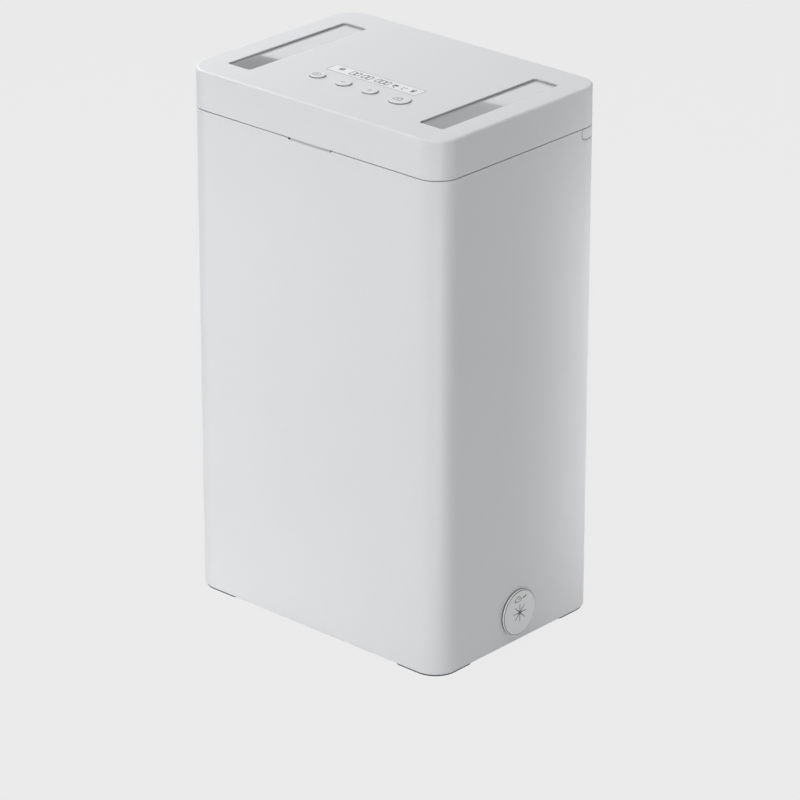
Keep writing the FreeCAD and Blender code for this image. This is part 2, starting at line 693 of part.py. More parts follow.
def make_rim_frame():
    body = new_body("rim_frame")
    opening_width = frame_width - d.frame_thickness * 2
    opening_depth = frame_depth - d.frame_thickness * 2
    opening_radius = frame_radius - d.frame_thickness
    ledge_top = liner_level - d.running_gap - d.bumper_height
    pad(body, "XY_Plane", frame_bottom, frame_top,
        lambda s: centred_rectangle(s, frame_width, frame_depth, frame_radius))
    pocket(body, "XY_Plane", frame_bottom - d.overlap, frame_top + d.overlap,
           lambda s: centred_rectangle(s, opening_width, opening_depth, opening_radius))
    pocket(body, "YZ_Plane", side_x * -1, side_x,
           lambda s: rectangle(s, recess_front, back_y, beam_top, frame_top + d.overlap))

    # Rear beam for the hinge brackets, front block for the striker, corner tabs for the
    # screws and two ledges for the bumpers.
    pad(body, "XY_Plane", frame_bottom, beam_top,
        lambda s: rectangle(s, beam_end * -1, beam_end, beam_front,
                            beam_back - d.frame_thickness / 2))
    block_top = striker_base + d.flange_height + d.edge_margin
    pad(body, "XY_Plane", frame_bottom, block_top,
        lambda s: rectangle(s, d.striker_flange / -2 - d.edge_margin,
                            d.striker_flange / 2 + d.edge_margin,
                            frame_depth / -2 + d.frame_thickness / 2, striker_face))

    def corner_circles(sketch, radius):
        for sx, sy in QUARTERS:
            circle(sketch, boss_x * sx, boss_y * sy, radius)
    pad(body, "XY_Plane", frame_bottom, frame_bottom + d.tab_thickness,
        lambda s: corner_circles(s, d.tab_radius))
    pocket(body, "XY_Plane", frame_bottom - d.overlap, frame_bottom + d.tab_thickness,
           lambda s: corner_circles(s, d.screw_hole_radius))

    def ledges(sketch):
        back = opening_depth / -2 + d.ledge_depth
        for side, sign in SIDES:
            middle = ledge_x * sign
            rectangle(sketch, middle - d.ledge_width / 2, middle + d.ledge_width / 2,
                      opening_depth / -2 - d.frame_thickness / 2, back)
    pad(body, "XY_Plane", ledge_top - d.ledge_height, ledge_top, ledges)

    # Pilot holes for the bracket screws and the striker screws.
    def bracket_holes(sketch):
        for side, sign in SIDES:
            for way in (-1, 1):
                x = hinge_x * sign + d.bracket_screw_spread / 2 * way
                circle(sketch, x, bracket_screw_z, d.screw_radius)
    pocket(body, "XZ_Plane", (beam_front + d.thread_depth) * -1, beam_front * -1, bracket_holes)

    def striker_holes(sketch):
        for side, sign in SIDES:
            circle(sketch, striker_screw_x * sign, striker_screw_z, d.screw_radius)
    pocket(body, "XZ_Plane", striker_face * -1, (striker_face - d.striker_block) * -1,
           striker_holes)
    return body


bracket_leg_bottom = frame_bottom + d.bracket_thickness
bracket_screw_z = (bracket_leg_bottom + beam_top) / 2
striker_screw_x = d.striker_flange / 2 - d.head_radius - d.screw_radius
striker_screw_z = striker_base + d.flange_height / 2


def make_striker():
    body = new_body("striker")
    flange_top = striker_base + d.flange_height
    room = d.striker_clearance
    window_bottom = bolt_bottom - room
    window_top = bolt_top + room
    tip = window_top + d.striker_top
    face = striker_face + d.striker_thickness
    bevel = d.plate_corner
    pad(body, "XZ_Plane", face * -1, striker_face * -1,
        lambda s: rectangle(s, d.striker_flange / -2, d.striker_flange / 2,
                            striker_base, flange_top, bevel))
    pad(body, "YZ_Plane", d.striker_thickness / -2, d.striker_thickness / 2,
        lambda s: polygon(s, [(striker_face, striker_base + bevel), (striker_back, flange_top),
                              (striker_back, tip - bevel), (striker_back - bevel, tip),
                              (striker_front + bevel, tip), (striker_front, tip - bevel),
                              (striker_front, flange_top), (striker_face, flange_top)]))
    pocket(body, "YZ_Plane", d.striker_thickness * -1, d.striker_thickness,
           lambda s: rectangle(s, bolt_front - room, bolt_back + room,
                               window_bottom, window_top, d.small_corner))

    def holes(sketch):
        for side, sign in SIDES:
            circle(sketch, striker_screw_x * sign, striker_screw_z, d.screw_hole_radius)
    pocket(body, "XZ_Plane", face * -1 - d.overlap, striker_face * -1 + d.overlap, holes)
    return body


def make_hinge_bracket(side, sign):
    """Goose-necked bracket: leg on the rear beam, arm forward of the band, round eye."""
    body = new_body("hinge_bracket_%s" % side)
    left = hinge_x * sign - d.eye_width / 2
    right = hinge_x * sign + d.eye_width / 2
    leg_front = beam_front - d.bracket_thickness
    arm_bottom = hinge_z - d.bracket_arm / 2
    arm_top = hinge_z + d.bracket_arm / 2
    pad(body, "YZ_Plane", left, right,
        lambda s: outline(s, [(leg_front, bracket_leg_bottom, 0),
                              (beam_front, bracket_leg_bottom, 0),
                              (beam_front, arm_bottom, 0), (hinge_y, arm_bottom, 0),
                              (hinge_y, arm_top, 0),
                              (leg_front, arm_top, d.plate_corner)]))
    pad(body, "YZ_Plane", left, right, lambda s: circle(s, hinge_y, hinge_z, d.eye_radius))
    pocket(body, "YZ_Plane", left - d.overlap, right + d.overlap,
           lambda s: circle(s, hinge_y, hinge_z, d.pin_radius + d.pin_running_fit))

    def holes(sketch):
        for way in (-1, 1):
            x = hinge_x * sign + d.bracket_screw_spread / 2 * way
            circle(sketch, x, bracket_screw_z, d.screw_hole_radius)
    pocket(body, "XZ_Plane", beam_front * -1 - d.overlap, leg_front * -1 + d.overlap, holes)
    return body


def make_grommet():
    """Turned silicone plug with a slit membrane; its sketch origin is the plug's axis."""
    body = new_body("cable_grommet")
    outer = side_x + d.grommet_proud
    inner = side_x - d.wall
    inner_end = inner - d.grommet_inner_flange
    relief_x = side_x + d.grommet_relief
    relief_radius = d.grommet_radius - d.grommet_relief
    sketch = new_sketch(body, "XZ_Plane", 0, ZERO, d.grommet_z)
    polygon(sketch, [(outer, 0), (outer, d.grommet_radius), (relief_x, d.grommet_radius),
                     (relief_x, relief_radius), (side_x, relief_radius),
                     (side_x, d.grommet_neck), (inner, d.grommet_neck),
                     (inner, d.grommet_inner_radius), (inner_end, d.grommet_inner_radius - d.small_corner),
                     (inner_end, d.grommet_well), (outer - d.grommet_membrane, d.grommet_well),
                     (outer - d.grommet_membrane, 0)])
    turned = body.newObject("PartDesign::Revolution", "cable_grommet_turned")
    turned.Profile = sketch
    turned.ReferenceAxis = (sketch, ["H_Axis"])
    turned.Angle = 360
    body.Tip = turned
    document.recompute()

    def front_rim(edge):
        far = abs(edge.BoundBox.XMin - outer.number) < 0.001
        wide = edge.BoundBox.YLength > d.grommet_well.number * 2
        return far and wide
    fillet(body, d.grommet_round, front_rim)
    ray = pocket(body, "YZ_Plane", outer - d.grommet_membrane - d.overlap, outer + d.overlap,
                 lambda s: rectangle(s, 0, d.slit_length, d.slit_width / -2, d.slit_width / 2),
                 ZERO, d.grommet_z)
    star = body.newObject("PartDesign::PolarPattern", "cable_grommet_star")
    star.Originals = [ray]
    star.Axis = (ray.Profile[0], ["N_Axis"])
    star.Angle = 360
    star.Occurrences = int(d.slit_count.number)
    star.setExpression("Occurrences", d.slit_count.formula)
    body.Tip = star
    document.recompute()
    return body


def make_bumpers():
    top = liner_level - d.running_gap
    back = frame_depth / -2 + d.frame_thickness + d.ledge_depth
    pieces = []
    for side, sign in SIDES:
        middle = ledge_x * sign
        half = d.ledge_width / 2 - d.edge_margin
        low = (middle - half, back - d.ledge_depth + d.edge_margin / 2, top - d.bumper_height)
        high = (middle + half, back - d.edge_margin / 2, top)
        pieces.append(box("bumper_%s" % side, low, high))
    return group("lid_bumpers", pieces)


# ---------------------------------------------------------------------------
# Lid
# ---------------------------------------------------------------------------

def slots(sketch, margin, radius):
    """Both window outlines, grown by a margin."""
    for side, sign in SIDES:
        centred_rectangle(sketch, d.slot_width + margin * 2, slot_length + margin * 2,
                          radius, d.slot_offset * sign, slot_y)


def liner_bosses(sketch, radius):
    for side, sign in SIDES:
        circle(sketch, liner_boss_x * sign, liner_boss_front, radius)
        circle(sketch, liner_boss_x * sign, liner_boss_back, radius)


def band_bosses(sketch, radius):
    for x in (band_screw_x * -1, ZERO, band_screw_x):
        circle(sketch, x, band_screw_y, radius)


board_hole_xs = (d.board_left + d.board_hole_inset, d.board_right - d.board_hole_inset)
board_hole_ys = (board_front + d.board_hole_inset, board_back - d.board_hole_inset)


def board_bosses(sketch, radius):
    for x in board_hole_xs:
        for y in board_hole_ys:
            circle(sketch, x, y, radius)


guide_front = bolt_front - d.bolt_clearance - d.guide_wall
guide_back = bolt_back + d.bolt_clearance + d.guide_wall
rail_front = striker_back + d.striker_back_room
rail_back = rail_front + d.rail_width
frame_left = bolt_left - d.guide_overrun
frame_right = d.bolt_travel + bolt_tip + d.guide_end
front_ear_y = guide_front - d.lock_ear_reach
ear_bottom = cradle_top - d.lock_ear_thickness
cradle_back = motor_front + d.gearbox_length + d.can_length + d.cradle_room
back_ear_y = cradle_back + d.lock_ear_reach
left_ear_x = pinion_x - d.left_ear_reach
right_ear_x = bolt_tip - d.right_ear_reach
lock_screw_places = (
    (left_ear_x, front_ear_y),
    (right_ear_x, front_ear_y),
    (pinion_x, back_ear_y),
)


def lock_bosses(sketch, radius):
    for x, y in lock_screw_places:
        circle(sketch, x, y, radius)


def make_lid_cover():
    body = new_body("lid_cover")
    pad(body, "XY_Plane", lid_bottom, d.lid_top,
        lambda s: centred_rectangle(s, d.body_width, d.body_depth, d.corner_radius))
    fillet(body, d.top_edge_radius, at_height(d.lid_top))
    pocket(body, "XY_Plane", lid_bottom - d.overlap, plate_underside,
           lambda s: centred_rectangle(s, inner_width, inner_depth, inner_radius))

    # Screw bosses under the top plate, each family down to what it holds.
    for bosses, foot in ((liner_bosses, liner_top), (band_bosses, body_top),
                         (board_bosses, board_top), (lock_bosses, cradle_top)):
        pad(body, "XY_Plane", foot, plate_underside, lambda s: bosses(s, d.lid_boss_radius))
        pocket(body, "XY_Plane", foot - d.overlap, foot + d.thread_depth,
               lambda s: bosses(s, d.screw_radius))

    # Openings in the top plate.
    pocket(body, "XY_Plane", plate_underside - d.overlap, d.lid_top + d.overlap,
           lambda s: slots(s, ZERO, d.slot_radius))
    pocket(body, "XY_Plane", plate_underside - d.overlap, lip_underside,
           lambda s: slots(s, d.pane_margin + d.pane_gap, d.slot_radius + d.pane_gap))
    pocket(body, "XY_Plane", d.lid_top - d.lens_thickness, d.lid_top + d.overlap,
           lambda s: centred_rectangle(s, d.lens_width + d.lens_gap * 2,
                                       d.lens_depth + d.lens_gap * 2,
                                       d.lens_radius + d.lens_gap, ZERO, lens_y))
    pocket(body, "XY_Plane", plate_underside - d.overlap, d.lid_top,
           lambda s: centred_rectangle(s, d.lens_width - d.lens_ledge * 2,
                                       d.lens_depth - d.lens_ledge * 2, ZERO, ZERO, lens_y))

    def button_holes(sketch):
        for name, x, radius in buttons:
            circle(sketch, x, button_y, radius + d.running_gap)
    pocket(body, "XY_Plane", plate_underside - d.overlap, d.lid_top + d.overlap, button_holes)
    return body


def make_hinge_band():
    """Rear part of the lid's skirt: wraps the rear corners and holds the hinge pins."""
    body = new_body("hinge_band")
    pad(body, "YZ_Plane", side_x * -1, side_x,
        lambda s: outline(s, [(d.band_front, band_bottom, d.band_leg_radius),
                              (back_y, band_bottom, d.barrel_radius),
                              (back_y, body_top, 0), (d.band_front, body_top, 0)]))

    def outside(sketch):
        margin = d.corner_radius * 2
        centred_rectangle(sketch, d.body_width + margin, d.body_depth + margin)
        centred_rectangle(sketch, d.body_width, d.body_depth, d.corner_radius)
    pocket(body, "XY_Plane", band_bottom - d.overlap, body_top + d.overlap, outside)
    pocket(body, "XY_Plane", band_bottom - d.overlap, body_top + d.overlap,
           lambda s: centred_rectangle(s, inner_width, inner_depth, inner_radius))

    # Blocks inside the rear skin; their rounded underside turns about the hinge line.
    ends = ((d.middle_block / -2, d.middle_block / 2),
            (block_start, block_end),
            (block_end * -1, block_start * -1))
    front = hinge_y - d.barrel_radius
    for left, right in ends:
        pad(body, "YZ_Plane", left, right,
            lambda s: outline(s, [(front, band_bottom, d.barrel_radius - d.eye_clearance),
                                  (back_y, band_bottom, d.barrel_radius),
                                  (back_y, body_top, 0), (front, body_top, 0)]))

    half_pocket = d.eye_width / 2 + d.eye_clearance

    def eye_pockets(sketch):
        for side, sign in SIDES:
            middle = hinge_x * sign
            rectangle(sketch, middle - half_pocket, middle + half_pocket,
                      front - d.overlap, back_y - d.band_skin)
    pocket(body, "XY_Plane", band_bottom - d.overlap, body_top + d.overlap, eye_pockets)
    bore_end = hinge_x + d.pin_length / 2 + d.eye_clearance
    for low, high in ((block_start, bore_end),
                      (bore_end * -1, block_start * -1)):
        pocket(body, "YZ_Plane", low, high,
               lambda s: circle(s, hinge_y, hinge_z, d.pin_radius + d.pin_press_fit))
    pocket(body, "XY_Plane", band_bottom - d.overlap, body_top + d.overlap,
           lambda s: band_bosses(s, d.screw_hole_radius))
    pocket(body, "XY_Plane", band_bottom - d.overlap, band_seat,
           lambda s: band_bosses(s, d.head_radius + d.running_gap / 2))
    return body


def make_lid_liner():
    body = new_body("lid_liner")
    half = liner_width / 2
    inset = d.liner_rim
    pad(body, "XY_Plane", liner_level, liner_rim_top,
        lambda s: rectangle(s, half * -1, half, liner_front, liner_back, d.liner_radius))
    pocket(body, "XY_Plane", liner_top, liner_rim_top + d.overlap,
           lambda s: rectangle(s, inset - half, half - inset, liner_front + inset,
                               liner_back - inset, d.liner_radius - inset))
    pad(body, "XY_Plane", liner_level, pane_bottom - d.running_gap,
        lambda s: slots(s, d.liner_rim, d.slot_radius + d.liner_rim))
    pocket(body, "XY_Plane", liner_level - d.overlap, pane_bottom + d.overlap,
           lambda s: slots(s, ZERO, d.slot_radius))

    # Battery opening with the notch and boss for the door's screw tab.
    pocket(body, "XY_Plane", liner_level - d.overlap, liner_top + d.overlap,
           lambda s: rectangle(s, box_half * -1, box_half, box_front, box_back))
    pad(body, "XY_Plane", liner_level, liner_rim_top + d.liner_thickness,
        lambda s: circle(s, 0, door_screw_y, d.lid_boss_radius))
    tab_half = d.door_tab_width / 2 + d.running_gap
    pocket(body, "XY_Plane", liner_level - d.overlap, liner_level + d.door_thickness,
           lambda s: rectangle(s, tab_half * -1, tab_half, door_tab_front - d.running_gap,
                               box_front + d.overlap))
    pocket(body, "XY_Plane", liner_level, liner_level + d.door_thickness + d.door_thread,
           lambda s: circle(s, 0, door_screw_y, d.screw_radius))

    # Slot for the striker and screw holes.
    slot_half = d.striker_thickness / 2 + d.striker_side_room
    pocket(body, "XY_Plane", liner_level - d.overlap, liner_top + d.overlap,
           lambda s: rectangle(s, slot_half * -1, slot_half,
                               striker_front - d.striker_front_room,
                               striker_back + d.striker_back_room, d.small_corner))
    pocket(body, "XY_Plane", liner_level - d.overlap, liner_top + d.overlap,
           lambda s: liner_bosses(s, d.screw_hole_radius))

    # Heat stakes for the battery box.
    def stakes(sketch):
        for x, y in stake_places:
            circle(sketch, x, y, d.stake_radius)
    pad(body, "XY_Plane", liner_level, stake_top, stakes)
    return body


box_half = d.cell_pitch * (d.cell_count - 1) / 2 + d.cell_radius + d.box_space
box_back = (box_front + d.cell_length + d.cell_nub_length + d.contact_thickness * 2
            + d.box_space * 2)
box_inside_top = liner_top + d.cell_radius * 2 + d.box_space * 2
door_screw_y = box_front - d.box_wall - d.lid_boss_radius - d.running_gap
door_tab_front = door_screw_y - d.door_tab_end
stake_x = box_half + d.box_wall + d.stake_reach
stake_top = liner_top + d.box_ear_thickness + d.stake_radius
box_middle_y = (box_front + box_back) / 2
stake_places = [(stake_x * sign, box_middle_y + d.stake_spread / 2 * way)
                for side, sign in SIDES for way in (-1, 1)]


def make_battery_box():
    body = new_body("battery_box")
    wall_ = d.box_wall
    pad(body, "XY_Plane", liner_top, box_inside_top + wall_,
        lambda s: rectangle(s, box_half * -1 - wall_, box_half + wall_,
                            box_front - wall_, box_back + wall_, d.plate_corner))

    def ears(sketch):
        half = d.box_ear_half
        reach = stake_x + half
        for way in (-1, 1):
            middle = box_middle_y + d.stake_spread / 2 * way
            rectangle(sketch, reach * -1, reach, middle - half, middle + half, d.plate_corner)
    pad(body, "XY_Plane", liner_top, liner_top + d.box_ear_thickness, ears)
    pocket(body, "XY_Plane", liner_top - d.overlap, box_inside_top,
           lambda s: rectangle(s, box_half * -1, box_half, box_front, box_back))

    def stake_holes(sketch):
        for x, y in stake_places:
            circle(sketch, x, y, d.stake_radius + d.pin_running_fit)
    pocket(body, "XY_Plane", liner_top - d.overlap, liner_top + d.box_ear_thickness + d.overlap, stake_holes)
    return body


def cell_x(index):
    return d.cell_pitch * (index - (d.cell_count - 1) / 2)


def cell_numbers():
    return range(int(d.cell_count.number))


cell_z = liner_top + d.cell_radius + d.box_space


def make_battery_cells():
    """Cells side by side, every second one turned round."""
    cells = []
    front = box_front + d.contact_thickness + d.box_space
    for index in cell_numbers():
        x = cell_x(index)
        nub_first = index % 2 == 0
        can_front = front + d.cell_nub_length if nub_first else front
        nub_front = front if nub_first else front + d.cell_length
        can = cylinder("cell_%d_can" % index, (x, can_front, cell_z), "back",
                       d.cell_radius, d.cell_length)
        nub = cylinder("cell_%d_nub" % index, (x, nub_front, cell_z), "back",
                       d.cell_nub_radius, d.cell_nub_length)
        cells.append(fuse("cell_%d" % index, [can, nub]))
    return group("battery_cells", cells)


def make_battery_contacts():
    plates = []
    half = d.contact_size / 2
    for index in cell_numbers():
        x = cell_x(index)
        for end, y in enumerate((box_front, box_back - d.contact_thickness)):
            plates.append(box("contact_%d_%d" % (index, end), (x - half, y, cell_z - half),
                              (x + half, y + d.contact_thickness, cell_z + half)))
    return group("battery_contacts", plates)


def make_battery_door():
    body = new_body("battery_door")
    gap = d.running_gap
    half = box_half - gap
    tab = d.door_tab_width / 2
    pad(body, "XY_Plane", liner_level, liner_level + d.door_thickness,
        lambda s: outline(s, [(half * -1, box_front + gap, 0), (tab * -1, box_front + gap, 0),
                              (tab * -1, door_tab_front, d.plate_corner),
                              (tab, door_tab_front, d.plate_corner),
                              (tab, box_front + gap, 0), (half, box_front + gap, 0),
                              (half, box_back - gap, d.small_corner),
                              (half * -1, box_back - gap, d.small_corner)]))
    pocket(body, "XY_Plane", liner_level - d.overlap, liner_top,
           lambda s: circle(s, 0, door_screw_y, d.screw_hole_radius))
    return body


def make_window(side, sign):
    body = new_body("window_%s" % side)
    width = d.slot_width + d.pane_margin * 2
    length = slot_length + d.pane_margin * 2
    pad(body, "XY_Plane", pane_bottom, pane_top,
        lambda s: centred_rectangle(s, width, length, d.slot_radius,
                                    d.slot_offset * sign, slot_y))
    return body


def make_window_tapes():
    body = new_body("window_tapes")
    body.AllowCompound = True
    pad(body, "XY_Plane", pane_top, lip_underside,
        lambda s: slots(s, d.pane_margin, d.slot_radius))
    pocket(body, "XY_Plane", pane_top - d.overlap, lip_underside + d.overlap,
           lambda s: slots(s, ZERO, d.slot_radius))
    return body


def make_display_window():
    body = new_body("display_window")
    pad(body, "XY_Plane", d.lid_top - d.lens_thickness, d.lid_top,
        lambda s: centred_rectangle(s, d.lens_width, d.lens_depth, d.lens_radius,
                                    ZERO, lens_y))
    return body


def make_display_module():
    body = new_body("display_module")
    width = d.lens_width - d.module_margin * 2
    depth = d.lens_depth - d.lens_ledge * 2 - d.running_gap * 2
    top = d.lid_top - d.lens_thickness - d.running_gap
    pad(body, "XY_Plane", board_top, top,
        lambda s: centred_rectangle(s, width, depth, ZERO, ZERO, lens_y))
    return body


def make_control_board():
    body = new_body("control_board")
    pad(body, "XY_Plane", board_top - d.board_thickness, board_top,
        lambda s: rectangle(s, d.board_left, d.board_right, board_front, board_back,
                            d.small_corner))
    pocket(body, "XY_Plane", board_top - d.board_thickness - d.overlap, board_top + d.overlap,
           lambda s: board_bosses(s, d.screw_hole_radius))
    return body


def make_tact_switches():
    pieces = []
    half = d.switch_size / 2
    for name, x, radius in buttons:
        low = (x - half, button_y - half, board_top)
        high = (x + half, button_y + half, board_top + d.switch_height)
        case = box("switch_of_" + name, low, high)
        plunger = cylinder("plunger_of_" + name, (x, button_y, board_top + d.switch_height),
                           "up", d.plunger_radius, d.plunger_height)
        pieces.append(fuse("tact_of_" + name, [case, plunger]))
    return group("tact_switches", pieces)


def make_button(label, x, radius):
    """Turned cap with a collar under the lid's plate; its sketch origin is the cap's axis."""
    body = new_body(label)
    flange_top = plate_underside - d.running_gap
    sketch = new_sketch(body, "XZ_Plane", button_y * -1, x, ZERO)
    polygon(sketch, [(0, cap_bottom), (radius + d.button_flange, cap_bottom),
                     (radius + d.button_flange, flange_top), (radius, flange_top),
                     (radius, button_top), (0, button_top)])
    turned = body.newObject("PartDesign::Revolution", label + "_turned")
    turned.Profile = sketch
    turned.ReferenceAxis = (sketch, ["V_Axis"])
    turned.Angle = 360
    body.Tip = turned
    document.recompute()
    fillet(body, d.button_round, at_height(button_top))
    return body


# ---------------------------------------------------------------------------
# Lock mechanism
# ---------------------------------------------------------------------------

def make_lock_frame():
    """Guide for the bolt on both sides of the striker, with the motor's cradle behind."""
    body = new_body("lock_frame")
    gap_half = d.striker_thickness / 2 + d.guide_gap
    bridge_bottom = bolt_top + d.bolt_clearance
    bridge_top = bridge_bottom + d.guide_bridge
    pad(body, "XY_Plane", guide_bottom, cradle_top,
        lambda s: rectangle(s, frame_left, frame_right, guide_front, rail_back))
    cradle_half = d.motor_width / 2 + d.running_gap + d.cradle_wall
    pad(body, "XY_Plane", guide_bottom, cradle_top,
        lambda s: rectangle(s, pinion_x - cradle_half, pinion_x + cradle_half,
                            rail_back - d.overlap, cradle_back))

    def ears(sketch):
        half = d.lock_ear_half
        for x in (left_ear_x, right_ear_x):
            rectangle(sketch, x - half, x + half, front_ear_y - half, guide_front + d.overlap)
        rectangle(sketch, pinion_x - half, pinion_x + half, cradle_back - d.overlap,
                  back_ear_y + half)
    pad(body, "XY_Plane", ear_bottom, cradle_top, ears)
    pocket(body, "XY_Plane", guide_bottom + d.frame_floor, cradle_top + d.overlap,
           lambda s: rectangle(s, frame_left - d.overlap, frame_right + d.overlap,
                               bolt_front - d.bolt_clearance, bolt_back + d.bolt_clearance))
    bridge_left = bolt_tip - d.bridge_length
    pad(body, "XY_Plane", bridge_bottom, bridge_top,
        lambda s: rectangle(s, bridge_left, frame_right, guide_front, rail_back))
    pocket(body, "XY_Plane", guide_bottom - d.overlap, bridge_top + d.overlap,
           lambda s: rectangle(s, gap_half * -1, gap_half, guide_front - d.overlap,
                               rail_front))

    # Cheeks beside the motor, and the hollow under its cradle.
    def cheeks(sketch):
        for side, sign in SIDES:
            inner = pinion_x + (d.motor_width / 2 + d.running_gap) * sign
            outer = pinion_x + cradle_half * sign
            outline(sketch, [(inner, motor_front, 0), (outer, motor_front, 0),
                             (outer, cradle_back, 0), (inner, cradle_back, 0)])
    pad(body, "XY_Plane", cradle_top - d.cradle_wall, board_top - d.board_thickness - d.running_gap,
        cheeks)
    pocket(body, "XY_Plane", guide_bottom - d.overlap, cradle_top - d.cradle_wall,
           lambda s: rectangle(s, pinion_x - cradle_half + d.cradle_wall,
                               pinion_x + cradle_half - d.cradle_wall, rail_back,
                               cradle_back - d.cradle_wall, d.small_corner))
    pocket(body, "XY_Plane", ear_bottom - d.overlap, cradle_top + d.overlap,
           lambda s: lock_bosses(s, d.screw_hole_radius))
    return body


pressure_angle = math.radians(d.pressure_angle.number)
flank_slope = math.tan(pressure_angle)


def make_lock_bolt():
    """Square bolt with a straight rack on its upper side."""
    body = new_body("lock_bolt")
    left = bolt_left
    bevel = d.small_corner
    pad(body, "XZ_Plane", bolt_back * -1, bolt_front * -1,
        lambda s: polygon(s, [(left, bolt_bottom), (bolt_tip - bevel, bolt_bottom),
                              (bolt_tip, bolt_bottom + bevel), (bolt_tip, bolt_top - bevel),
                              (bolt_tip - bevel, bolt_top), (left, bolt_top)]))
    half_at_pitch = pitch / 4 - d.gear_backlash / 2
    half_root = half_at_pitch + dedendum * flank_slope
    half_tip = half_at_pitch - addendum * flank_slope
    tip = pitch_line + addendum
    first = pinion_x - pitch * d.rack_lead
    root = bolt_top - d.gear_backlash
    tooth = pad(body, "XZ_Plane", bolt_back * -1, bolt_front * -1,
                lambda s: polygon(s, [(first - half_root, root), (first + half_root, root),
                                      (first + half_root, bolt_top), (first + half_tip, tip),
                                      (first - half_tip, tip), (first - half_root, bolt_top)]))
    rack = body.newObject("PartDesign::LinearPattern", "lock_bolt_rack")
    rack.Originals = [tooth]
    rack.Direction = (tooth.Profile[0], ["H_Axis"])
    bind(rack, "Length", pitch * (d.rack_teeth - 1))
    rack.Occurrences = int(d.rack_teeth.number)
    rack.setExpression("Occurrences", d.rack_teeth.formula)
    body.Tip = rack
    document.recompute()
    return body


def involute_point(base_radius, radius):
    """Polar angle of the involute of a base circle where it reaches a radius."""
    roll = math.sqrt(max((radius / base_radius) ** 2 - 1, 0))
    return roll - math.atan(roll)


def make_lock_pinion():
    """Involute pinion; a tooth space points straight down at the rack."""
    teeth = int(d.pinion_teeth.number)
    radius = pitch_radius.number
    base = radius * math.cos(pressure_angle)
    tip = radius + addendum.number
    root = radius - dedendum.number
    half_tooth = (pitch.number / 2 - d.gear_backlash.number) / 2 / radius
    at_pitch = involute_point(base, radius)
    start = max(base, root)
    radii = [start + (tip - start) * i / 3 for i in range(4)]

    def spot(distance, angle):
        return Vector(distance * math.cos(angle), 0, distance * math.sin(angle))

    edges = []
    step = 2 * math.pi / teeth
    for index in range(teeth):
        middle = -math.pi / 2 + (index + 0.5) * step
        rising = [(r, middle - half_tooth - at_pitch + involute_point(base, r)) for r in radii]
        falling = [(r, 2 * middle - angle) for r, angle in reversed(rising)]
        foot = spot(root, rising[0][1])
        out = spot(root, falling[-1][1])
        following = spot(root, rising[0][1] + step)
        for points in (rising, falling):
            flank = Part.BSplineCurve()
            flank.interpolate([spot(r, angle) for r, angle in points])
            if points is rising:
                edges.append(Part.LineSegment(foot, spot(*points[0])).toShape())
                edges.append(flank.toShape())
                edges.append(Part.Arc(spot(*rising[-1]), spot(tip, middle),
                                      spot(*falling[0])).toShape())
            else:
                edges.append(flank.toShape())
                edges.append(Part.LineSegment(spot(*points[-1]), out).toShape())
        edges.append(Part.Arc(out, spot(root, middle + step / 2), following).toShape())
    profile = Part.Face(Part.Wire(edges))
    solid = profile.extrude(Vector(0, d.pinion_width.number, 0))
    bore = shaft_section(d.shaft_radius.number + d.hub_fit.number, d.hub_fit.number,
                         d.pinion_width.number + d.overlap.number * 2, -d.overlap.number)
    feature = document.addObject("Part::Feature", "lock_pinion")
    feature.Label = "lock_pinion"
    feature.Shape = solid.cut(bore)
    place(feature, (pinion_x, bolt_y - d.pinion_width / 2, pinion_z))
    return feature


def shaft_section(radius, gap, length, start):
    """D-shaped bar along +Y; its flat faces up."""
    flat = d.shaft_radius.number - d.shaft_flat.number + gap
    bar = Part.makeCylinder(radius, length, Vector(0, start, 0), Vector(0, 1, 0))
    size = radius * 3
    trim = Part.makeBox(size, length, size, Vector(-size / 2, start, flat))
    return bar.cut(trim)


shaft_front = bolt_y - d.pinion_width / 2 - d.running_gap
shaft_depth = d.gearbox_length / 2
shaft_back = motor_front + shaft_depth


def make_motor_shaft():
    round_bar = cylinder("shaft_round", (pinion_x, shaft_front, pinion_z), "back",
                         d.shaft_radius, shaft_back - shaft_front)
    flat_z = pinion_z + d.shaft_radius - d.shaft_flat
    above = box("shaft_flat_tool", (pinion_x - d.shaft_radius * 2, shaft_front - d.overlap, flat_z),
                (pinion_x + d.shaft_radius * 2, motor_front - d.running_gap,
                 flat_z + d.shaft_radius * 2))
    return cut("motor_shaft", round_bar, above)


def make_lock_motor():
    """Flat-sided gear motor: square gearbox ahead of a round can with two flats."""
    half_w = d.motor_width / 2
    half_h = d.motor_height / 2
    can_front = motor_front + d.gearbox_length
    gearbox = box("motor_gearbox", (pinion_x - half_w, motor_front, pinion_z - half_h),
                  (pinion_x + half_w, can_front, pinion_z + half_h))
    can_round = cylinder("motor_can_round", (pinion_x, can_front, pinion_z), "back",
                         half_w, d.can_length)
    can_flats = box("motor_can_flats", (pinion_x - half_w, can_front, pinion_z - half_h),
                    (pinion_x + half_w, can_front + d.can_length, pinion_z + half_h))
    can = common("motor_can", can_round, can_flats)
    whole = fuse("motor_outside", [gearbox, can])
    bore = cylinder("motor_bore", (pinion_x, motor_front - d.overlap, pinion_z), "back",
                    d.shaft_radius + d.shaft_fit, shaft_depth + d.overlap + d.running_gap)
    return cut("lock_motor", whole, bore)


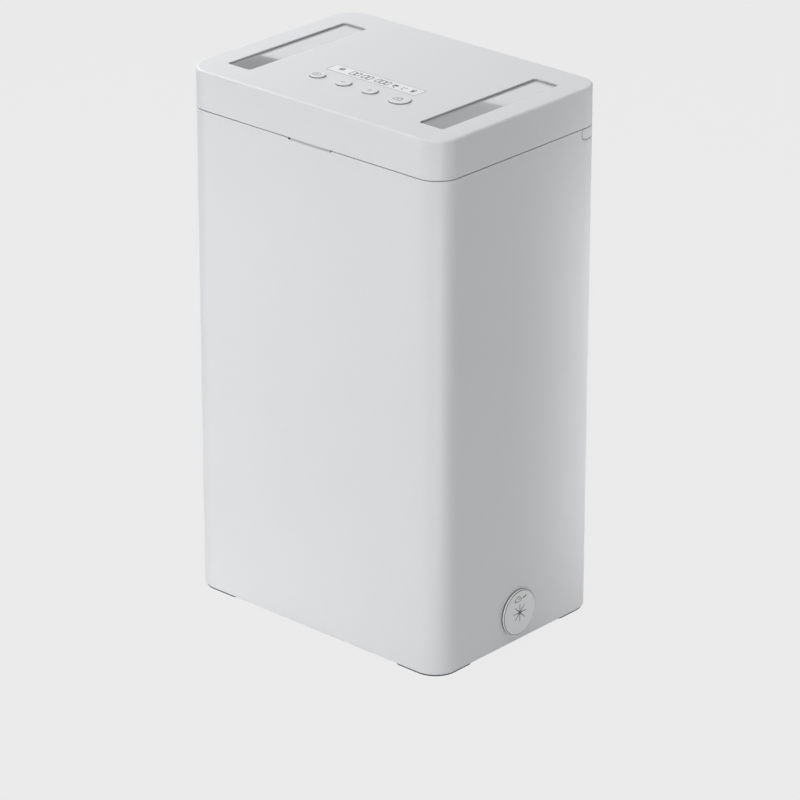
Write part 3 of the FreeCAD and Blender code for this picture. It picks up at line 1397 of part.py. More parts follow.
def make_motor_strap():
    """Bent steel strap over the motor; its feet stand on the cheeks of the cradle."""
    body = new_body("motor_strap")
    inner = d.motor_width / 2 + d.running_gap
    outer = inner + d.strap_thickness
    foot = board_top - d.board_thickness - d.running_gap
    low = pinion_z + d.motor_height / 2 + d.running_gap
    high = low + d.strap_thickness
    middle = motor_front + d.gearbox_length + d.can_length / 2
    x = pinion_x
    half = d.strap_width / 2
    pad(body, "XZ_Plane", (middle + half) * -1, (middle - half) * -1,
        lambda s: outline(s, [(x - outer, foot, 0), (x - inner, foot, 0), (x - inner, low, 0),
                              (x + inner, low, 0), (x + inner, foot, 0), (x + outer, foot, 0),
                              (x + outer, high, d.small_corner), (x - outer, high, d.small_corner)]))
    return body


# ---------------------------------------------------------------------------
# Assembly
# ---------------------------------------------------------------------------

parts = [
    make_body_shell(),
    make_feet(),
    make_rim_frame(),
    make_striker(),
    make_hinge_bracket("left", -1),
    make_hinge_bracket("right", 1),
    make_grommet(),
    make_bumpers(),
    make_lid_cover(),
    make_hinge_band(),
    make_lid_liner(),
    make_battery_box(),
    make_battery_cells(),
    make_battery_contacts(),
    make_battery_door(),
    make_window("left", -1),
    make_window("right", 1),
    make_window_tapes(),
    make_display_window(),
    make_display_module(),
    make_control_board(),
    make_tact_switches(),
    make_lock_frame(),
    make_lock_bolt(),
    make_lock_pinion(),
    make_motor_shaft(),
    make_lock_motor(),
    make_motor_strap(),
]
parts += [make_button(*button) for button in buttons]

for side, sign in SIDES:
    pin_start = hinge_x * sign - d.pin_length / 2
    pin = cylinder("hinge_pin_%s" % side, (pin_start, hinge_y, hinge_z), "right",
                   d.pin_radius, d.pin_length)
    parts.append(pin)

tab_top = frame_bottom + d.tab_thickness
parts.append(screws("rim_screws", [(boss_x * sx, boss_y * sy, tab_top) for sx, sy in QUARTERS],
                    "down", d.tab_thickness + d.thread_depth - d.tip_room))
striker_seat = striker_face + d.striker_thickness
parts.append(screws("striker_screws", [(striker_screw_x * sign, striker_seat, striker_screw_z)
                                       for side, sign in SIDES],
                    "front", d.striker_thickness + d.striker_block - d.tip_room))
bracket_seat = beam_front - d.bracket_thickness
parts.append(screws("hinge_bracket_screws",
                    [(hinge_x * sign + d.bracket_screw_spread / 2 * way, bracket_seat,
                      bracket_screw_z) for side, sign in SIDES for way in (-1, 1)],
                    "back", d.bracket_thickness + d.thread_depth - d.tip_room))
parts.append(screws("hinge_band_screws",
                    [(x, band_screw_y, band_seat)
                     for x in (band_screw_x * -1, ZERO, band_screw_x)],
                    "up", body_top - band_seat + d.thread_depth - d.tip_room))
parts.append(screws("liner_screws",
                    [(liner_boss_x * sign, y, liner_level)
                     for side, sign in SIDES for y in (liner_boss_front, liner_boss_back)],
                    "up", d.liner_thickness + d.thread_depth - d.tip_room))
board_bottom = board_top - d.board_thickness
parts.append(screws("board_screws", [(x, y, board_bottom)
                                     for x in board_hole_xs for y in board_hole_ys],
                    "up", d.board_thickness + d.thread_depth - d.tip_room))
parts.append(screws("lock_screws", [(x, y, ear_bottom) for x, y in lock_screw_places],
                    "up", cradle_top - ear_bottom + d.thread_depth - d.tip_room))
parts.append(screws("battery_door_screw", [(0, door_screw_y, liner_level)],
                    "up", d.door_thickness + d.door_thread - d.tip_room))

document.recompute()
for item in document.Objects:
    if "Invalid" in item.State or "Error" in item.State:
        raise ValueError("%s failed: %s" % (item.Label, item.State))
for part in parts:
    if part.Shape.isNull() or not part.Shape.isValid():
        raise ValueError("%s has no valid shape" % part.Label)

os.makedirs("parts", exist_ok=True)
for part in parts:
    part.Shape.exportStep("parts/%s.step" % part.Label)
    print("%-22s solids %d  volume %.1f" % (part.Label, len(part.Shape.Solids), part.Shape.Volume))
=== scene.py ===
"""Finishes and small pieces of a timed lock container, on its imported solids."""

import math

import bpy
import numpy as np
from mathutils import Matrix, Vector


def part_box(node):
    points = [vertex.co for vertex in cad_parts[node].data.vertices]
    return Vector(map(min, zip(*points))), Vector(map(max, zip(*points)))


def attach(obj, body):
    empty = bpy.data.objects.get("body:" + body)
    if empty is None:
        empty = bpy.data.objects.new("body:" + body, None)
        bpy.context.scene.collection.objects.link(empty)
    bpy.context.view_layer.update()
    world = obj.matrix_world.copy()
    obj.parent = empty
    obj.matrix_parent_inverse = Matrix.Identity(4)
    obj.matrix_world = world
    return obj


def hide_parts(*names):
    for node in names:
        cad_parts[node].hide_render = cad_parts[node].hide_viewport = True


bl_info = {
    "name": "Timed lock container",
    "version": (1, 0, 0),
    "blender": (4, 5, 0),
    "location": "3D View > Sidebar > Lock container",
    "description": "Finishes, signs and small pieces of a timed lock container",
    "category": "Object",
}

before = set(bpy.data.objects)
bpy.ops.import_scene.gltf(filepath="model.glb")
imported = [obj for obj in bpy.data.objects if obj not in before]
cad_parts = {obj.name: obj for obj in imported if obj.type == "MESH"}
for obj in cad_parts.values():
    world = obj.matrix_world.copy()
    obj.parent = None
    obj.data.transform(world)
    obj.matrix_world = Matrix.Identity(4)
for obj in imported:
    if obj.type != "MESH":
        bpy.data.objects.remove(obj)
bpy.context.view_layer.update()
MM = 0.001


def linear(hex_colour):
    """Linear red, green and blue of an sRGB hex colour."""
    parts = [int(hex_colour[i:i + 2], 16) / 255 for i in (1, 3, 5)]
    return tuple(c / 12.92 if c <= 0.04045 else ((c + 0.055) / 1.055) ** 2.4 for c in parts)


# ---------------------------------------------------------------------------
# Sizes and colours
# ---------------------------------------------------------------------------

def length(name, default, description):
    """A length property, given in millimetres."""
    return bpy.props.FloatProperty(name=name, description=description, default=default * MM,
                                   min=0, unit="LENGTH", precision=5)


def colour(name, default, description):
    """A colour property, given as an sRGB hex value."""
    return bpy.props.FloatVectorProperty(name=name, description=description, size=3,
                                         default=linear(default), min=0, max=1,
                                         subtype="COLOR")


class LockContainerSizes(bpy.types.PropertyGroup):
    """Lengths of what is drawn on the moulded parts"""
    digit_height: length("Digit height", 5.4, "Height of the countdown digits")
    digit_width: length("Digit width", 2.9, "Width of one countdown digit")
    digit_stroke: length("Digit stroke", 0.75, "Width of the bars of a digit")
    sign_stroke: length("Sign stroke", 0.4, "Line width of the printed signs")
    film: length("Print thickness", 0.03, "Thickness of printed and engraved signs")
    mould_grain: length("Mould grain", 0.9, "Spacing of the spark-eroded texture")
    thread_pitch: length("Thread pitch", 1.0, "Pitch of the screws")
    recess_width: length("Recess width", 0.55, "Width of the cross recess of a screw")


class LockContainerColours(bpy.types.PropertyGroup):
    """Colours of the main materials"""
    housing: colour("Housing", "#E1E2E4", "Moulded body and lid")
    button: colour("Buttons", "#E3E4E6", "Moulded button caps")
    silicone: colour("Grommet", "#EDEEEF", "Silicone of the cable grommet")
    window: colour("Windows", "#B2B4B6", "Opal grey of the window panes")
    display: colour("Display", "#F1F2F3", "Satin face of the display")
    digits: colour("Digits", "#707376", "Countdown digits")
    marks: colour("Marks", "#55585B", "Small marks of the display")
    print_grey: colour("Print", "#787B7E", "Signs on the buttons")
    rubber: colour("Rubber", "#3A3B3D", "Feet and bumpers")
    backdrop: colour("Backdrop", "#EBEBEB", "Floor and surroundings")


def sizes():
    """The scene's own sizes."""
    return bpy.context.scene.lock_container_sizes


def colours():
    """The scene's own colours."""
    return bpy.context.scene.lock_container_colours


# ---------------------------------------------------------------------------
# Surfaces
# ---------------------------------------------------------------------------

def grid_faces(rows, columns, close_rows=False, close_columns=False):
    """Quads between neighbouring points of a grid; a closed direction joins its ends."""
    row = np.arange(rows if close_rows else rows - 1)[:, None]
    column = np.arange(columns if close_columns else columns - 1)[None, :]
    below, beside = (row + 1) % rows, (column + 1) % columns
    corners = (row * columns + column, row * columns + beside,
               below * columns + beside, below * columns + column)
    return np.stack([np.broadcast_to(c, (row.size, column.size)) for c in corners],
                    -1).reshape(-1, 4)


def joined(surfaces):
    """One list of points and one of faces out of several surfaces."""
    points, faces, count = [], [], 0
    for some_points, some_faces in surfaces:
        points.append(np.asarray(some_points, float).reshape(-1, 3))
        faces += [tuple(int(i) + count for i in face) for face in some_faces]
        count += len(points[-1])
    return np.concatenate(points), faces


def piece(name, surfaces, material, body, smooth_angle=None):
    """Make a mesh object out of surfaces and let it ride on a body."""
    points, faces = joined(surfaces)
    mesh = bpy.data.meshes.new(name)
    mesh.from_pydata(points.tolist(), [], faces)
    mesh.materials.append(material)
    mesh.validate()
    item = bpy.data.objects.new(name, mesh)
    bpy.context.scene.collection.objects.link(item)
    if smooth_angle is not None:
        mesh.shade_smooth()
        mesh.set_sharp_from_angle(angle=math.radians(smooth_angle))
    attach(item, body)
    return item


def tube(rings):
    """Surface through a run of rings with equally many points each, its two ends closed."""
    rings = np.asarray(rings, float)
    count, around = rings.shape[:2]
    faces = [tuple(face) for face in grid_faces(count, around, close_columns=True)]
    faces.append(tuple(range(around))[::-1])
    faces.append(tuple(range((count - 1) * around, count * around)))
    return rings.reshape(-1, 3), faces


def stroke(path, width, low, high, closed=False):
    """Flat line: a rectangle carried along a path in the plane.

    Each side of the line lies half the width from the path, along the mean normal of the
    two runs that meet there, divided by its length squared so that corners keep the width.
    """
    path = np.asarray(path, float)
    ahead = np.roll(path, -1, 0) - path
    ahead /= np.maximum(np.linalg.norm(ahead, axis=1, keepdims=True), 1e-9)
    if not closed:
        ahead[-1] = ahead[-2]
    behind = np.roll(ahead, 1, 0)
    if not closed:
        behind[0] = ahead[0]
    normal = np.stack([-(ahead + behind)[:, 1], (ahead + behind)[:, 0]], -1) / 2
    normal /= np.maximum((normal ** 2).sum(1, keepdims=True), 0.1)
    offset = normal * (np.broadcast_to(width, len(path))[:, None] / 2)
    left, right = path + offset, path - offset
    edges = ((left, low), (right, low), (right, high), (left, high))
    rings = np.stack([np.column_stack([side, np.full(len(path), level)])
                      for side, level in edges], 1)
    if closed:
        return rings.reshape(-1, 3), grid_faces(len(path), 4, True, True)
    return tube(rings)


def arc(x, y, radius, start=0, end=360, count=24):
    """Points of a circle about x, y between two angles in degrees."""
    around = np.radians(np.linspace(start, end, count + 1))
    if (end - start) % 360 == 0:
        around = around[:-1]
    return np.column_stack([x + radius * np.cos(around), y + radius * np.sin(around)])


def dot(x, y, radius, low, high, count=20):
    """Small flat disc: a circle carried upwards."""
    ring = arc(x, y, radius, count=count)
    return tube([np.column_stack([ring, np.full(len(ring), level)]) for level in (low, high)])


def turned(profile, count=32):
    """Surface of revolution about Z: each profile point, radius and height, becomes a ring."""
    around = np.linspace(0, 2 * math.pi, count, endpoint=False)
    profile = np.asarray(profile, float)
    radius, height = profile[:, 0][:, None], profile[:, 1][:, None]
    return np.stack([radius * np.cos(around), radius * np.sin(around),
                     np.broadcast_to(height, (len(profile), count))], -1)


# ---------------------------------------------------------------------------
# Finishes
# ---------------------------------------------------------------------------

# Refractive indices: ABS, which also serves for the other moulded materials and the inks,
# then acrylic, glass, and polyester film or lacquer.
ABS_IOR, ACRYLIC_IOR, GLASS_IOR, FILM_IOR = 1.54, 1.49, 1.52, 1.5
# Length over which the tone of a moulded material drifts.
SLOW_TONE = 120 * MM


def new_material(name):
    """A node material, its tree and its shader."""
    made = bpy.data.materials.new(name)
    made.use_nodes = True
    tree = made.node_tree
    return made, tree, tree.nodes["Principled BSDF"]


def add(tree, kind, links=None, values=None, **settings):
    """Add a node with its settings, its input values and its links."""
    node = tree.nodes.new(kind)
    for name, value in settings.items():
        setattr(node, name, value)
    for key, value in (values or {}).items():
        node.inputs[key].default_value = value
    for key, socket in (links or {}).items():
        tree.links.new(socket, node.inputs[key])
    return node


def set_shader(shader, **values):
    """Set inputs of a shader by name, with _ for a space."""
    for name, value in values.items():
        shader.inputs[name.replace("_", " ")].default_value = value


def shade(rgb, factor):
    """A colour made lighter or darker, with alpha."""
    return tuple(min(c * factor, 1) for c in rgb) + (1,)


def moulded(name, rgb, grain, depth, roughness, speckle=0.012):
    """Moulded plastic, rubber or ink: even bumps as far apart as the grain, a faint speckle
    at the same spacing and a slow change of tone over about 120 mm. Real mould grain is
    finer than can be seen, so the grain is drawn coarser."""
    made, tree, shader = new_material(name)
    set_shader(shader, IOR=ABS_IOR, Roughness=roughness)
    place = add(tree, "ShaderNodeTexCoord").outputs["Object"]
    bumps = add(tree, "ShaderNodeTexNoise", {"Vector": place},
                {"Scale": 1 / grain, "Detail": 1.5, "Roughness": 0.6}).outputs["Fac"]
    slow = add(tree, "ShaderNodeTexNoise", {"Vector": place},
               {"Scale": 1 / SLOW_TONE, "Detail": 0.0}).outputs["Fac"]
    both = add(tree, "ShaderNodeMath", {0: bumps, 1: slow}, operation="ADD").outputs[0]
    tone = add(tree, "ShaderNodeMapRange", {"Value": both},
               {"From Min": 0.6, "From Max": 1.4}).outputs["Result"]
    mixed = add(tree, "ShaderNodeMix", {"Factor": tone}, data_type="RGBA")
    mixed.inputs["A"].default_value = shade(rgb, 1 - speckle)
    mixed.inputs["B"].default_value = shade(rgb, 1 + speckle)
    tree.links.new(mixed.outputs["Result"], shader.inputs["Base Color"])
    bump = add(tree, "ShaderNodeBump", {"Height": bumps}, {"Strength": 1.0, "Distance": depth})
    tree.links.new(bump.outputs["Normal"], shader.inputs["Normal"])
    return made


def metal(name, rgb, roughness, grain, stretch, depth, spread=0.12):
    """Bare or plated metal: fine marks, drawn out into lines along the axis with the least
    stretch, which vary its colour, gloss and height. They are drawn coarser than real
    tool marks, which are too fine to be seen."""
    made, tree, shader = new_material(name)
    set_shader(shader, Metallic=1.0)
    place = add(tree, "ShaderNodeTexCoord").outputs["Object"]
    turned_place = add(tree, "ShaderNodeMapping", {"Vector": place}, {"Scale": stretch})
    lines = add(tree, "ShaderNodeTexNoise", {"Vector": turned_place.outputs["Vector"]},
                {"Scale": 1 / grain, "Detail": 3.0}).outputs["Fac"]
    gloss = add(tree, "ShaderNodeMapRange", {"Value": lines},
                {"To Min": roughness - spread, "To Max": roughness + spread})
    mixed = add(tree, "ShaderNodeMix", {"Factor": lines}, data_type="RGBA")
    mixed.inputs["A"].default_value = shade(rgb, 0.9)
    mixed.inputs["B"].default_value = shade(rgb, 1.05)
    tree.links.new(gloss.outputs["Result"], shader.inputs["Roughness"])
    tree.links.new(mixed.outputs["Result"], shader.inputs["Base Color"])
    bump = add(tree, "ShaderNodeBump", {"Height": lines}, {"Strength": 1.0, "Distance": depth})
    tree.links.new(bump.outputs["Normal"], shader.inputs["Normal"])
    return made


def glossy(name, rgb, roughness, ior, coat, variation, scale):
    """Polished, cast or coated surface with a clear coat and a slow cloud in its colour."""
    made, tree, shader = new_material(name)
    set_shader(shader, IOR=ior, Roughness=roughness, Coat_Weight=coat, Coat_Roughness=0.0,
               Coat_IOR=ior)
    place = add(tree, "ShaderNodeTexCoord").outputs["Object"]
    cloud = add(tree, "ShaderNodeTexNoise", {"Vector": place},
                {"Scale": 1 / scale, "Detail": 2.0}).outputs["Fac"]
    mixed = add(tree, "ShaderNodeMix", {"Factor": cloud}, data_type="RGBA")
    mixed.inputs["A"].default_value = shade(rgb, 1 - variation)
    mixed.inputs["B"].default_value = shade(rgb, 1 + variation)
    tree.links.new(mixed.outputs["Result"], shader.inputs["Base Color"])
    return made


def painted_shade_below(made, level, blend, factor):
    """Paint shade into a finish under a height, where a cap dips into the gap round it."""
    tree = made.node_tree
    base = tree.nodes["Principled BSDF"].inputs["Base Color"]
    upper = base.links[0].from_socket
    place = add(tree, "ShaderNodeTexCoord").outputs["Object"]
    height = add(tree, "ShaderNodeSeparateXYZ", {"Vector": place}).outputs["Z"]
    rise = add(tree, "ShaderNodeMapRange", {"Value": height},
               {"From Min": level - blend, "From Max": level, "To Min": factor}).outputs["Result"]
    toned = add(tree, "ShaderNodeVectorMath", {0: upper, "Scale": rise}, operation="SCALE")
    tree.links.new(toned.outputs["Vector"], base)
    return made


def finish(material, *nodes):
    """Give CAD nodes a material in place of their plain one."""
    for node in nodes:
        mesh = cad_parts[node].data
        if not mesh.materials:
            mesh.materials.append(material)
        for index in range(len(mesh.materials)):
            mesh.materials[index] = material


# ---------------------------------------------------------------------------
# Pieces
# ---------------------------------------------------------------------------

class Build:
    """What all operators of this file share"""
    bl_options = {"REGISTER", "UNDO"}


# Small dark discs of the feet's rubber in the ends of the nail groove, darkening those ends:
# places along X, distance of their middle from the front, radius, and how far they reach
# below and above the body's upper edge.
GROOVE_DOT_PLACES = (-17.6 * MM, 17.2 * MM)
GROOVE_DOT_INSET, GROOVE_DOT_RADIUS, GROOVE_DOT_BELOW, GROOVE_DOT_ABOVE = 1.05 * MM, 1.0 * MM, 0.85 * MM, 0.55 * MM


class LOCK_CONTAINER_OT_housing(Build, bpy.types.Operator):
    """Finish the moulded body, its feet, rim frame and steel pieces"""
    bl_idname = "lock_container.housing"
    bl_label = "Housing"

    def execute(self, context):
        s, c = sizes(), colours()
        # A spark-eroded mould gives large faces an even matt skin that spreads every light.
        finish(moulded("ABS_spark_eroded_body", c.housing, s.mould_grain, 0.012 * MM, 0.5),
               "body_shell")
        # A plainly milled mould gives a smoother, slightly shinier and greyer piece.
        finish(moulded("ABS_plain_moulded_frame", linear("#CDCFD1"), 0.6 * MM, 0.004 * MM, 0.42),
               "rim_frame")
        # Rubber: dark grey with hardly any gloss, and uneven where dust clings to it.
        rubber = moulded("Rubber_moulded_feet", c.rubber, 0.5 * MM, 0.02 * MM, 0.8, 0.08)
        finish(rubber, "feet", "lid_bumpers")
        front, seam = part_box("body_shell")[0].y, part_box("body_shell")[1].z
        groove_dots = [dot(x, front + GROOVE_DOT_INSET, GROOVE_DOT_RADIUS, seam - GROOVE_DOT_BELOW, seam + GROOVE_DOT_ABOVE)
                 for x in GROOVE_DOT_PLACES]
        piece("nail_groove_dots", groove_dots, rubber, "housing", 40)
        # Tumbling rounds off the punch marks: a soft even glint in all directions.
        finish(metal("Steel_stamped_tumbled", linear("#B9BBBD"), 0.36, 0.8 * MM, (1, 1, 1),
                     0.01 * MM), "striker", "motor_strap")
        # Zinc over rolled strip: bluish, with the faint lines of the rolls.
        finish(metal("Steel_stamped_zinc_plated", linear("#B4B8BE"), 0.3, 0.5 * MM, (1, 6, 1),
                     0.005 * MM), "hinge_bracket_left", "hinge_bracket_right")
        return {"FINISHED"}


class LOCK_CONTAINER_OT_lid(Build, bpy.types.Operator):
    """Finish the lid cover, hinge band, liner and battery door"""
    bl_idname = "lock_container.lid"
    bl_label = "Lid"

    def execute(self, context):
        s, c = sizes(), colours()
        # The body's skin with a shallower grain, so that the top stays calm in low light.
        lid = moulded("ABS_spark_eroded_lid", c.housing, s.mould_grain, 0.008 * MM, 0.5)
        finish(lid, "lid_cover", "hinge_band")
        # Smooth inner moulding: a faint sheen where the outside has none.
        finish(moulded("ABS_plain_moulded_liner", linear("#D6D8DA"), 0.7 * MM, 0.006 * MM, 0.45),
               "lid_liner")
        # A door meant for fingers has a deeper grain, which sets it off from the liner.
        finish(moulded("ABS_fine_textured_door", linear("#D9DBDD"), 0.6 * MM, 0.02 * MM, 0.55),
               "battery_door")
        # Ground bar: nearly a mirror, with fine lines along the hinge.
        finish(metal("Steel_ground_pin", linear("#C4C5C8"), 0.16, 0.3 * MM, (1, 8, 8),
                     0.002 * MM, 0.06), "hinge_pin_left", "hinge_pin_right", "motor_shaft")
        return {"FINISHED"}


class LOCK_CONTAINER_OT_windows(Build, bpy.types.Operator):
    """Finish the two window panes and their adhesive frames"""
    bl_idname = "lock_container.windows"
    bl_label = "Windows"

    def execute(self, context):
        c = colours()
        # Polished opal sheet: an even grey of its own under a sharp mirror of the room.
        finish(glossy("Acrylic_opal_polished", c.window, 0.02, ACRYLIC_IOR, 1.0, 0.01, 0.03),
               "window_left", "window_right")
        # Foamed film: a dull black line at the edge of each pane.
        finish(moulded("Foam_film_adhesive", linear("#2B2C2E"), 0.4 * MM, 0.02 * MM, 0.9, 0.05),
               "window_tapes")
        return {"FINISHED"}


# Corner radius of the display window, and how far prints float over what they are on.
DISPLAY_CORNER = 1.0 * MM
DISPLAY_FLOAT, CAP_FLOAT, GROMMET_PROUD = 0.01 * MM, 0.002 * MM, 0.01 * MM

# Left edges of the seven digits and middles of the two colons, in millimetres along X.
DIGIT_STARTS = (-20.2, -16.3, -10.4, -6.5, 0.5, 4.4, 8.3)
COLON_PLACES = (-12.0, -1.7)
# A colon's dots: radius, and distance from the middle in shares of the digits' height.
COLON_RADIUS, COLON_SHARE = 0.35 * MM, 0.22
# Middles of the marks beside the digits, in millimetres along X.
CELL, POINTER, ALARM, HOUSE = -28.7, 16.2, 23.2, 30.6

# Bars of a digit that shows 0: start and end in shares of its width and height.
BARS = (((0, 1), (1, 1)), ((1, 1), (1, 0.5)), ((1, 0.5), (1, 0)), ((1, 0), (0, 0)),
        ((0, 0), (0, 0.5)), ((0, 0.5), (0, 1)))


# A bar's ends: where its point and its full width lie, and how wide they are, all in shares
# of the line's width.
BAR_POINT, BAR_SHOULDER, BAR_TIP = 0.12, 0.5, 0.15


def digit(x, y, width, height, line, low, high):
    """Six pointed bars round a rectangle whose lower left corner is x, y."""
    surfaces = []
    widths = np.array([BAR_TIP, 1.0, 1.0, BAR_TIP]) * line
    share = np.array([BAR_POINT, BAR_SHOULDER])[:, None] * line
    for (x0, y0), (x1, y1) in BARS:
        start = np.array([x + x0 * width, y + y0 * height])
        end = np.array([x + x1 * width, y + y1 * height])
        along = (end - start) / np.linalg.norm(end - start)
        path = np.vstack([start + along * share, end - along * share[::-1]])
        surfaces.append(stroke(path, widths, low, high))
    return surfaces


class LOCK_CONTAINER_OT_display(Build, bpy.types.Operator):
    """Finish the display window and draw its digits and marks"""
    bl_idname = "lock_container.display"
    bl_label = "Display"

    def execute(self, context):
        s, c = sizes(), colours()
        # Satin-coated sheet: pale, with only a soft broad reflection over the digits.
        finish(glossy("Acrylic_satin_coated", c.display, 0.3, ACRYLIC_IOR, 0.15, 0.01, 0.03),
               "display_window")
        # Glass over liquid crystal: greenish grey and smooth.
        finish(glossy("Glass_display_module", linear("#9AA29B"), 0.1, GLASS_IOR, 0.3, 0.03, 0.02),
               "display_module")
        low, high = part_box("display_window")
        middle = (low.y + high.y) / 2
        floor = high.z + DISPLAY_FLOAT
        top = floor + s.film
        # Flat ink: dark, even and matt.
        dark = moulded("Ink_dark_grey_printed", c.marks, 0.3 * MM, 0.001 * MM, 0.5)
        # Switched crystal seen through the satin sheet: a softer grey than ink. The same grey
        # draws the painted shadow round the window.
        grey = moulded("Liquid_crystal_grey_and_painted_shadow", c.digits, 0.3 * MM, 0.001 * MM, 0.4)

        base = middle - s.digit_height / 2
        surfaces = []
        for start in DIGIT_STARTS:
            surfaces += digit(start * MM, base, s.digit_width, s.digit_height, s.digit_stroke,
                              floor, top)
        for x in COLON_PLACES:
            for way in (-1, 1):
                surfaces.append(dot(x * MM, middle + s.digit_height * COLON_SHARE * way,
                                    COLON_RADIUS, floor, top))
        piece("display_digits", surfaces, grey, "lid")

        def at(points, x, y=0):
            """Move a drawing in millimetres to its place on the display."""
            return (np.asarray(points, float) + [x, y]) * MM + [0, middle]
        line = s.sign_stroke
        marks = [
            stroke(at([(-1.4, -1.3), (1.4, -1.3), (1.4, 1.5), (-1.4, 1.5)], CELL, 0.9),
                   line * 1.9, floor, top, True),
            stroke(at([(-0.9, -0.8), (0.9, 1.0)], CELL, 0.9), line, floor, top),
            stroke(at([(0.2, -1.0), (1.3, -1.0)], CELL, 0.9), line * 2, floor, top),
            stroke(at([(-1.9, 0.6), (1.7, 0.6)], POINTER), 2.0 * MM, floor, top),
            stroke(at([(-1.6, -0.9), (-0.2, -1.9), (1.3, -2.9)], POINTER), line * 1.8, floor, top),
        ]
        piece("display_marks", marks, dark, "lid")
        pale = [
            stroke(at([(-1.6, 0.9), (1.9, 0.9)], ALARM), line * 1.6, floor, top),
            stroke(at([(-1.3, -0.8), (0.4, -2.5)], ALARM), line * 1.6, floor, top),
            stroke(at(arc(0, 0, 1.15, 20, 340, 18), HOUSE, 1.2), line * 2.2, floor, top),
            stroke(at([(-1.2, -0.8), (1.3, -0.8)], HOUSE), 2.4 * MM, floor, top),
        ]
        piece("display_faint_marks", pale, grey, "lid")
        # Painted shadow: a narrow grey line for the shade of the joint round the flush window.
        bend = DISPLAY_CORNER
        path = np.vstack([arc(x, y, bend - line / 4, start, start + 90, 6)
                          for x, y, start in ((high.x - bend, high.y - bend, 0),
                                              (low.x + bend, high.y - bend, 90),
                                              (low.x + bend, low.y + bend, 180),
                                              (high.x - bend, low.y + bend, 270))])
        piece("display_painted_shadow_outline", [stroke(path, line / 2, floor, top, True)], grey, "lid")
        return {"FINISHED"}


# A cap carries painted shade up to this height over the lid, blended over this length and
# darkened by this factor; its print is this share of the print thickness.
CAP_FOOT, CAP_BLEND, CAP_PAINTED_SHADE = 0.62 * MM, 0.2 * MM, 0.4
CAP_FILM = 0.4


class LOCK_CONTAINER_OT_buttons(Build, bpy.types.Operator):
    """Finish the four button caps and print their signs"""
    bl_idname = "lock_container.buttons"
    bl_label = "Buttons"

    def execute(self, context):
        s, c = sizes(), colours()
        names = ("mode_button", "minus_button", "plus_button", "start_button")
        # The lid's plastic, polished a little by fingers, with painted shade at its foot where it
        # dips into the gap.
        cap = moulded("ABS_spark_eroded_buttons_painted_shade", c.button, 0.5 * MM, 0.004 * MM, 0.45)
        top_of_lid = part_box("lid_cover")[1].z
        finish(painted_shade_below(cap, top_of_lid + CAP_FOOT, CAP_BLEND, CAP_PAINTED_SHADE), *names)
        # Thin ink on matt plastic: pale and without a shine.
        ink = moulded("Ink_pale_grey_printed", c.print_grey, 0.3 * MM, 0.001 * MM, 0.5)
        line = s.sign_stroke
        for name in names:
            low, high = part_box(name)
            centre = np.array([(low.x + high.x) / 2, (low.y + high.y) / 2])
            floor = high.z + CAP_FLOAT
            top = floor + s.film * CAP_FILM

            def at(points, x=0.0):
                """Move a drawing in millimetres to its place on the cap."""
                return (np.asarray(points, float) + [x, 0]) * MM + centre
            if name == "mode_button":
                signs = [stroke(at(arc(0, 0, 2.5), -0.8), line, floor, top, True),
                         stroke(at([(0, 1.5), (0, 0), (1.2, -0.7)], -0.8), line * 1.3, floor, top),
                         dot(*at([(-1.5, 0)], -0.8)[0], 0.4 * MM, floor, top),
                         dot(*at([(0, -1.6)], -0.8)[0], 0.4 * MM, floor, top)]
            elif name == "minus_button":
                signs = [stroke(at([(-1.9, 0), (1.9, 0)], -0.4), line * 1.4, floor, top)]
            elif name == "plus_button":
                signs = [stroke(at([(-1.9, 0), (1.9, 0)], -0.4), line, floor, top),
                         stroke(at([(0, 0.2), (0, 1.9)], -0.4), line, floor, top),
                         stroke(at([(0, -0.2), (0, -1.9)], -0.4), line, floor, top)]
            else:
                signs = [stroke(at([(-3.0, -2.3), (2.4, -2.3), (2.4, 0.7), (-3.0, 0.7)], -0.8),
                                line * 1.3, floor, top, True),
                         stroke(at(arc(-0.3, 0.95, 1.8, 0, 180, 18), -0.8), line * 1.1,
                                floor, top),
                         stroke(at([(-0.3, -0.3), (-0.3, -1.4)], -0.8), line * 2, floor, top)]
            piece(name + "_sign", signs, ink, name)
        return {"FINISHED"}


# A slit's open lip, filled with painted shade: distances from the middle of the grommet and widths
# there.
LIP_PLACES = np.array([0.2, 1.6, 4.2, 6.2]) * MM
LIP_WIDTHS = np.array([0.75, 0.65, 0.5, 0.3]) * MM
# Ring of painted shade at the foot of the flange: how deep it sits in the flange, how far it
# stands out of it, and its height off the wall.
FOOT_DEPTH, FOOT_PROUD, FOOT_HEIGHT = 0.3 * MM, 0.05 * MM, 0.9 * MM
# Rounding of the flange's rim, and the depth of the painted shadow line on it.
RIM_ROUND, RIM_LINE = 0.8 * MM, 0.06 * MM


